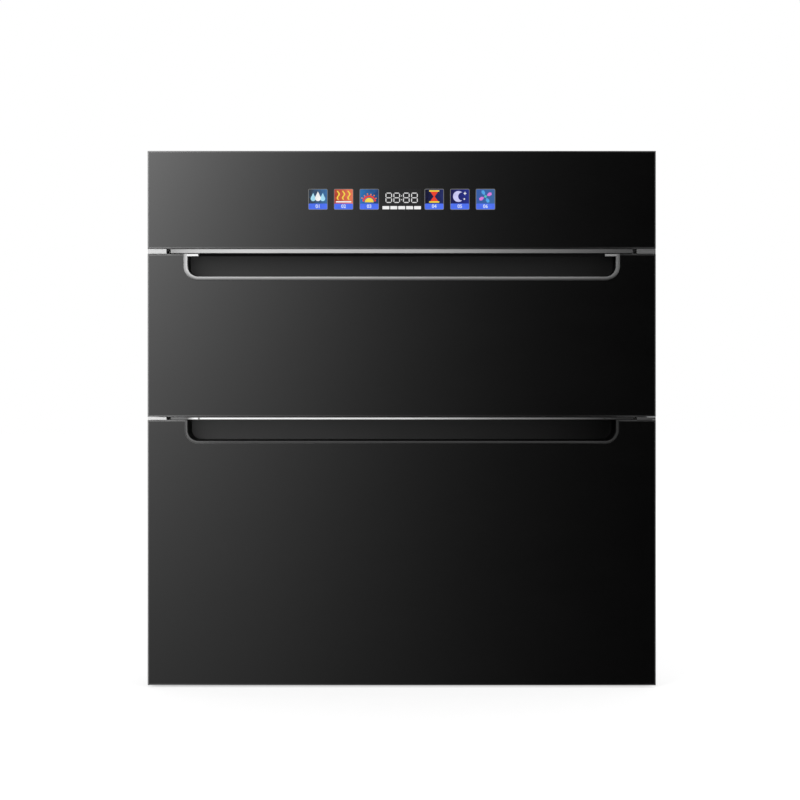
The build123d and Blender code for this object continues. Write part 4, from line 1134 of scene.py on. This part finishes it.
def segment(first, second):
    """A display segment with pointed ends, between two points but for a gap at each end."""
    step = (second - first).normalized()
    start, end = first + step * DIGIT_GAP, second - step * DIGIT_GAP
    along = step * DIGIT_STROKE / 2
    across = Vector((-along.y, along.x))
    near, far = start + along, end - along
    corners = [start, near + across, far + across, end, far - across, near - across]
    return [(corner.x, corner.y) for corner in corners]


def digit(x, z):
    """The seven segments of an 8."""
    half, tall = (DIGIT_WIDTH - DIGIT_STROKE) / 2, (DIGIT_HEIGHT - DIGIT_STROKE) / 2
    levels = (z + tall, z, z - tall)
    segments = [segment(Vector((x - half, level)), Vector((x + half, level))) for level in levels]
    for high, low in zip(levels, levels[1:]):
        segments += [segment(Vector((side, high)), Vector((side, low))) for side in (x - half, x + half)]
    return segments


def make_clock():
    """Four digits, a colon and the row of bars under them."""
    shapes = [part for x in DIGIT_XS for part in digit(x, DIGIT_Z)]
    shapes += [disc((COLON_X, DIGIT_Z + lift), COLON_RADIUS, steps=16) for lift in (-COLON_LIFT, COLON_LIFT)]
    plates("clock_digits", shapes, 0, 1, lit["digit"])
    reach = BAR_PITCH * (BAR_COUNT - 1) / 2
    half, tall = BAR_WIDTH / 2, BAR_HEIGHT / 2
    bars = [
        rounded(x - half, x + half, BAR_Z - tall, BAR_Z + tall, BAR_CORNER)
        for x in spread(-reach, reach, BAR_COUNT)
    ]
    plates("clock_bars", bars, 0, 1, lit["white"])


make_clock()

# ------------ the studio
CAMERA_X, CAMERA_Z = -0.0020, 0.3364
CAMERA_DISTANCE = 1.6
PICTURE_LENS, SENSOR, CLIP_END = 61.54, 36.0, 50.0
SURFACE_LIGHT, PLAIN_WHITE = 0.80, 1.0
# The studio light that mirror rays see in front is exp(level + slope * z), where x and z are the ray's
# direction. The level and the slope are polynomials of x, with the highest power first.
STUDIO_LEVEL = (-15.05, -11.06, -0.92)
STUDIO_SLOPE = (-10.9, 2.4)
STUDIO_X, STUDIO_Z = (-0.24, 0.30), (-0.30, 0.24)
STUDIO_PEAK = 4.0
# The directions over which the studio light goes over into plain white.
FADE_X, FADE_Z, FADE_BEHIND = (0.35, 0.75), (0.40, 0.80), (-0.5, 0.1)
FLOOR_HALF = 12.0
# What the camera sees of the floor: a share of its lit tone, and a glow that makes up for the rest.
FLOOR_SHARE, FLOOR_GLOW = 0.55, 0.65
# Each lamp's name, place, side and power.
LAMPS = (
    ("key", (-1.6, -1.8, 1.9), 1.4, 22.0),
    ("fill", (1.8, -1.2, 1.2), 1.2, 6.0),
    ("rear", (0.6, 2.2, 1.8), 1.4, 14.0),
)


def link_to_scene(name, data):
    """An object of the studio."""
    thing = bpy.data.objects.new(name, data)
    bpy.context.scene.collection.objects.link(thing)
    return thing


def make_camera():
    """The camera at the photograph's viewing angle, straight in front of the glass."""
    data = bpy.data.cameras.new("camera")
    data.sensor_width = SENSOR
    data.lens = PICTURE_LENS
    data.clip_end = CLIP_END
    camera = link_to_scene("camera", data)
    camera.location = (CAMERA_X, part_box("lower_glass")[0].y - CAMERA_DISTANCE, CAMERA_Z)
    camera.rotation_euler = (math.radians(90), 0.0, 0.0)
    bpy.context.scene.camera = camera


def polynomial(tree, value, factors):
    """A polynomial of a value, with the highest power's factor first."""
    total = factors[0]
    for factor in factors[1:]:
        total = math_node(tree, "ADD", math_node(tree, "MULTIPLY", value, total), factor)
    return total


def white_background(tree, strength):
    """A white background of some strength."""
    background = tree.nodes.new("ShaderNodeBackground")
    background.inputs["Color"].default_value = (1.0, 1.0, 1.0, 1.0)
    link_or_set(tree, background.inputs["Strength"], strength)
    return background.outputs[0]


def make_world():
    """Even light for the surfaces, and white for the camera and for rays through glass.

    Mirror rays see white too, but in front of the cabinet they see a soft studio light left of the
    camera, whose brightness falls off to the right. It is what the black glass mirrors.
    """
    world = bpy.data.worlds.new("studio")
    bpy.context.scene.world = world
    world.use_nodes = True
    tree = world.node_tree
    tree.nodes.clear()
    direction = split(tree, tree.nodes.new("ShaderNodeTexCoord").outputs["Generated"])
    x = span(tree, direction["X"], *STUDIO_X, *STUDIO_X)
    z = span(tree, direction["Z"], *STUDIO_Z, *STUDIO_Z)
    slope = math_node(tree, "MULTIPLY", polynomial(tree, x, STUDIO_SLOPE), z)
    exponent = math_node(tree, "ADD", polynomial(tree, x, STUDIO_LEVEL), slope)
    panel = math_node(tree, "MINIMUM", math_node(tree, "EXPONENT", exponent), STUDIO_PEAK)
    aside = span(tree, math_node(tree, "ABSOLUTE", direction["X"]), *FADE_X)
    above = span(tree, math_node(tree, "ABSOLUTE", direction["Z"]), *FADE_Z)
    behind = span(tree, direction["Y"], *FADE_BEHIND)
    away = math_node(tree, "MAXIMUM", math_node(tree, "MAXIMUM", aside, above), behind)
    mirrored = mix_values(tree, away, panel, PLAIN_WHITE)

    path = tree.nodes.new("ShaderNodeLightPath")
    shader = white_background(tree, SURFACE_LIGHT)
    for ray, strength in (
        ("Is Glossy Ray", mirrored),
        ("Is Transmission Ray", PLAIN_WHITE),
        ("Is Camera Ray", PLAIN_WHITE),
    ):
        blend = tree.nodes.new("ShaderNodeMixShader")
        tree.links.new(path.outputs[ray], blend.inputs["Fac"])
        tree.links.new(shader, blend.inputs[1])
        tree.links.new(white_background(tree, strength), blend.inputs[2])
        shader = blend.outputs[0]
    output = tree.nodes.new("ShaderNodeOutputWorld")
    tree.links.new(shader, output.inputs["Surface"])


def make_floor():
    """A plain floor that is near white to the camera and keeps a pale shadow of the object."""
    mesh = bpy.data.meshes.new("floor")
    half = FLOOR_HALF
    corners = [(-half, -half, 0), (half, -half, 0), (half, half, 0), (-half, half, 0)]
    mesh.from_pydata(corners, [], [(0, 1, 2, 3)])
    material = bpy.data.materials.new("floor_white")
    material.use_nodes = True
    tree = material.node_tree
    tree.nodes.clear()
    seen = tree.nodes.new("ShaderNodeLightPath").outputs["Is Camera Ray"]
    tone = tint(tree, noise(tree, scale=30.0), grey(0.80), grey(0.82))
    diffuse = tree.nodes.new("ShaderNodeBsdfDiffuse")
    tree.links.new(scaled(tree, tone, span(tree, seen, 0.0, 1.0, 1.0, FLOOR_SHARE)), diffuse.inputs["Color"])
    glow = tree.nodes.new("ShaderNodeEmission")
    glow.inputs["Color"].default_value = (1.0, 1.0, 1.0, 1.0)
    tree.links.new(math_node(tree, "MULTIPLY", seen, FLOOR_GLOW), glow.inputs["Strength"])
    total = tree.nodes.new("ShaderNodeAddShader")
    tree.links.new(diffuse.outputs[0], total.inputs[0])
    tree.links.new(glow.outputs[0], total.inputs[1])
    output = tree.nodes.new("ShaderNodeOutputMaterial")
    tree.links.new(total.outputs[0], output.inputs["Surface"])
    mesh.materials.append(material)
    floor = link_to_scene("floor", mesh)
    floor.visible_glossy = False


def make_lamps():
    """Large soft area lights that point at the middle of the cabinet."""
    middle = (cad_low + cad_high) / 2
    for name, location, side, power in LAMPS:
        data = bpy.data.lights.new(name, "AREA")
        data.shape = "SQUARE"
        data.size = side
        data.energy = power
        lamp = link_to_scene(name, data)
        lamp.location = location
        lamp.rotation_euler = (middle - Vector(location)).to_track_quat("-Z", "Y").to_euler()
        lamp.visible_glossy = False


make_camera()
make_world()
make_floor()
make_lamps()
bpy.context.scene.view_settings.view_transform = "Standard"
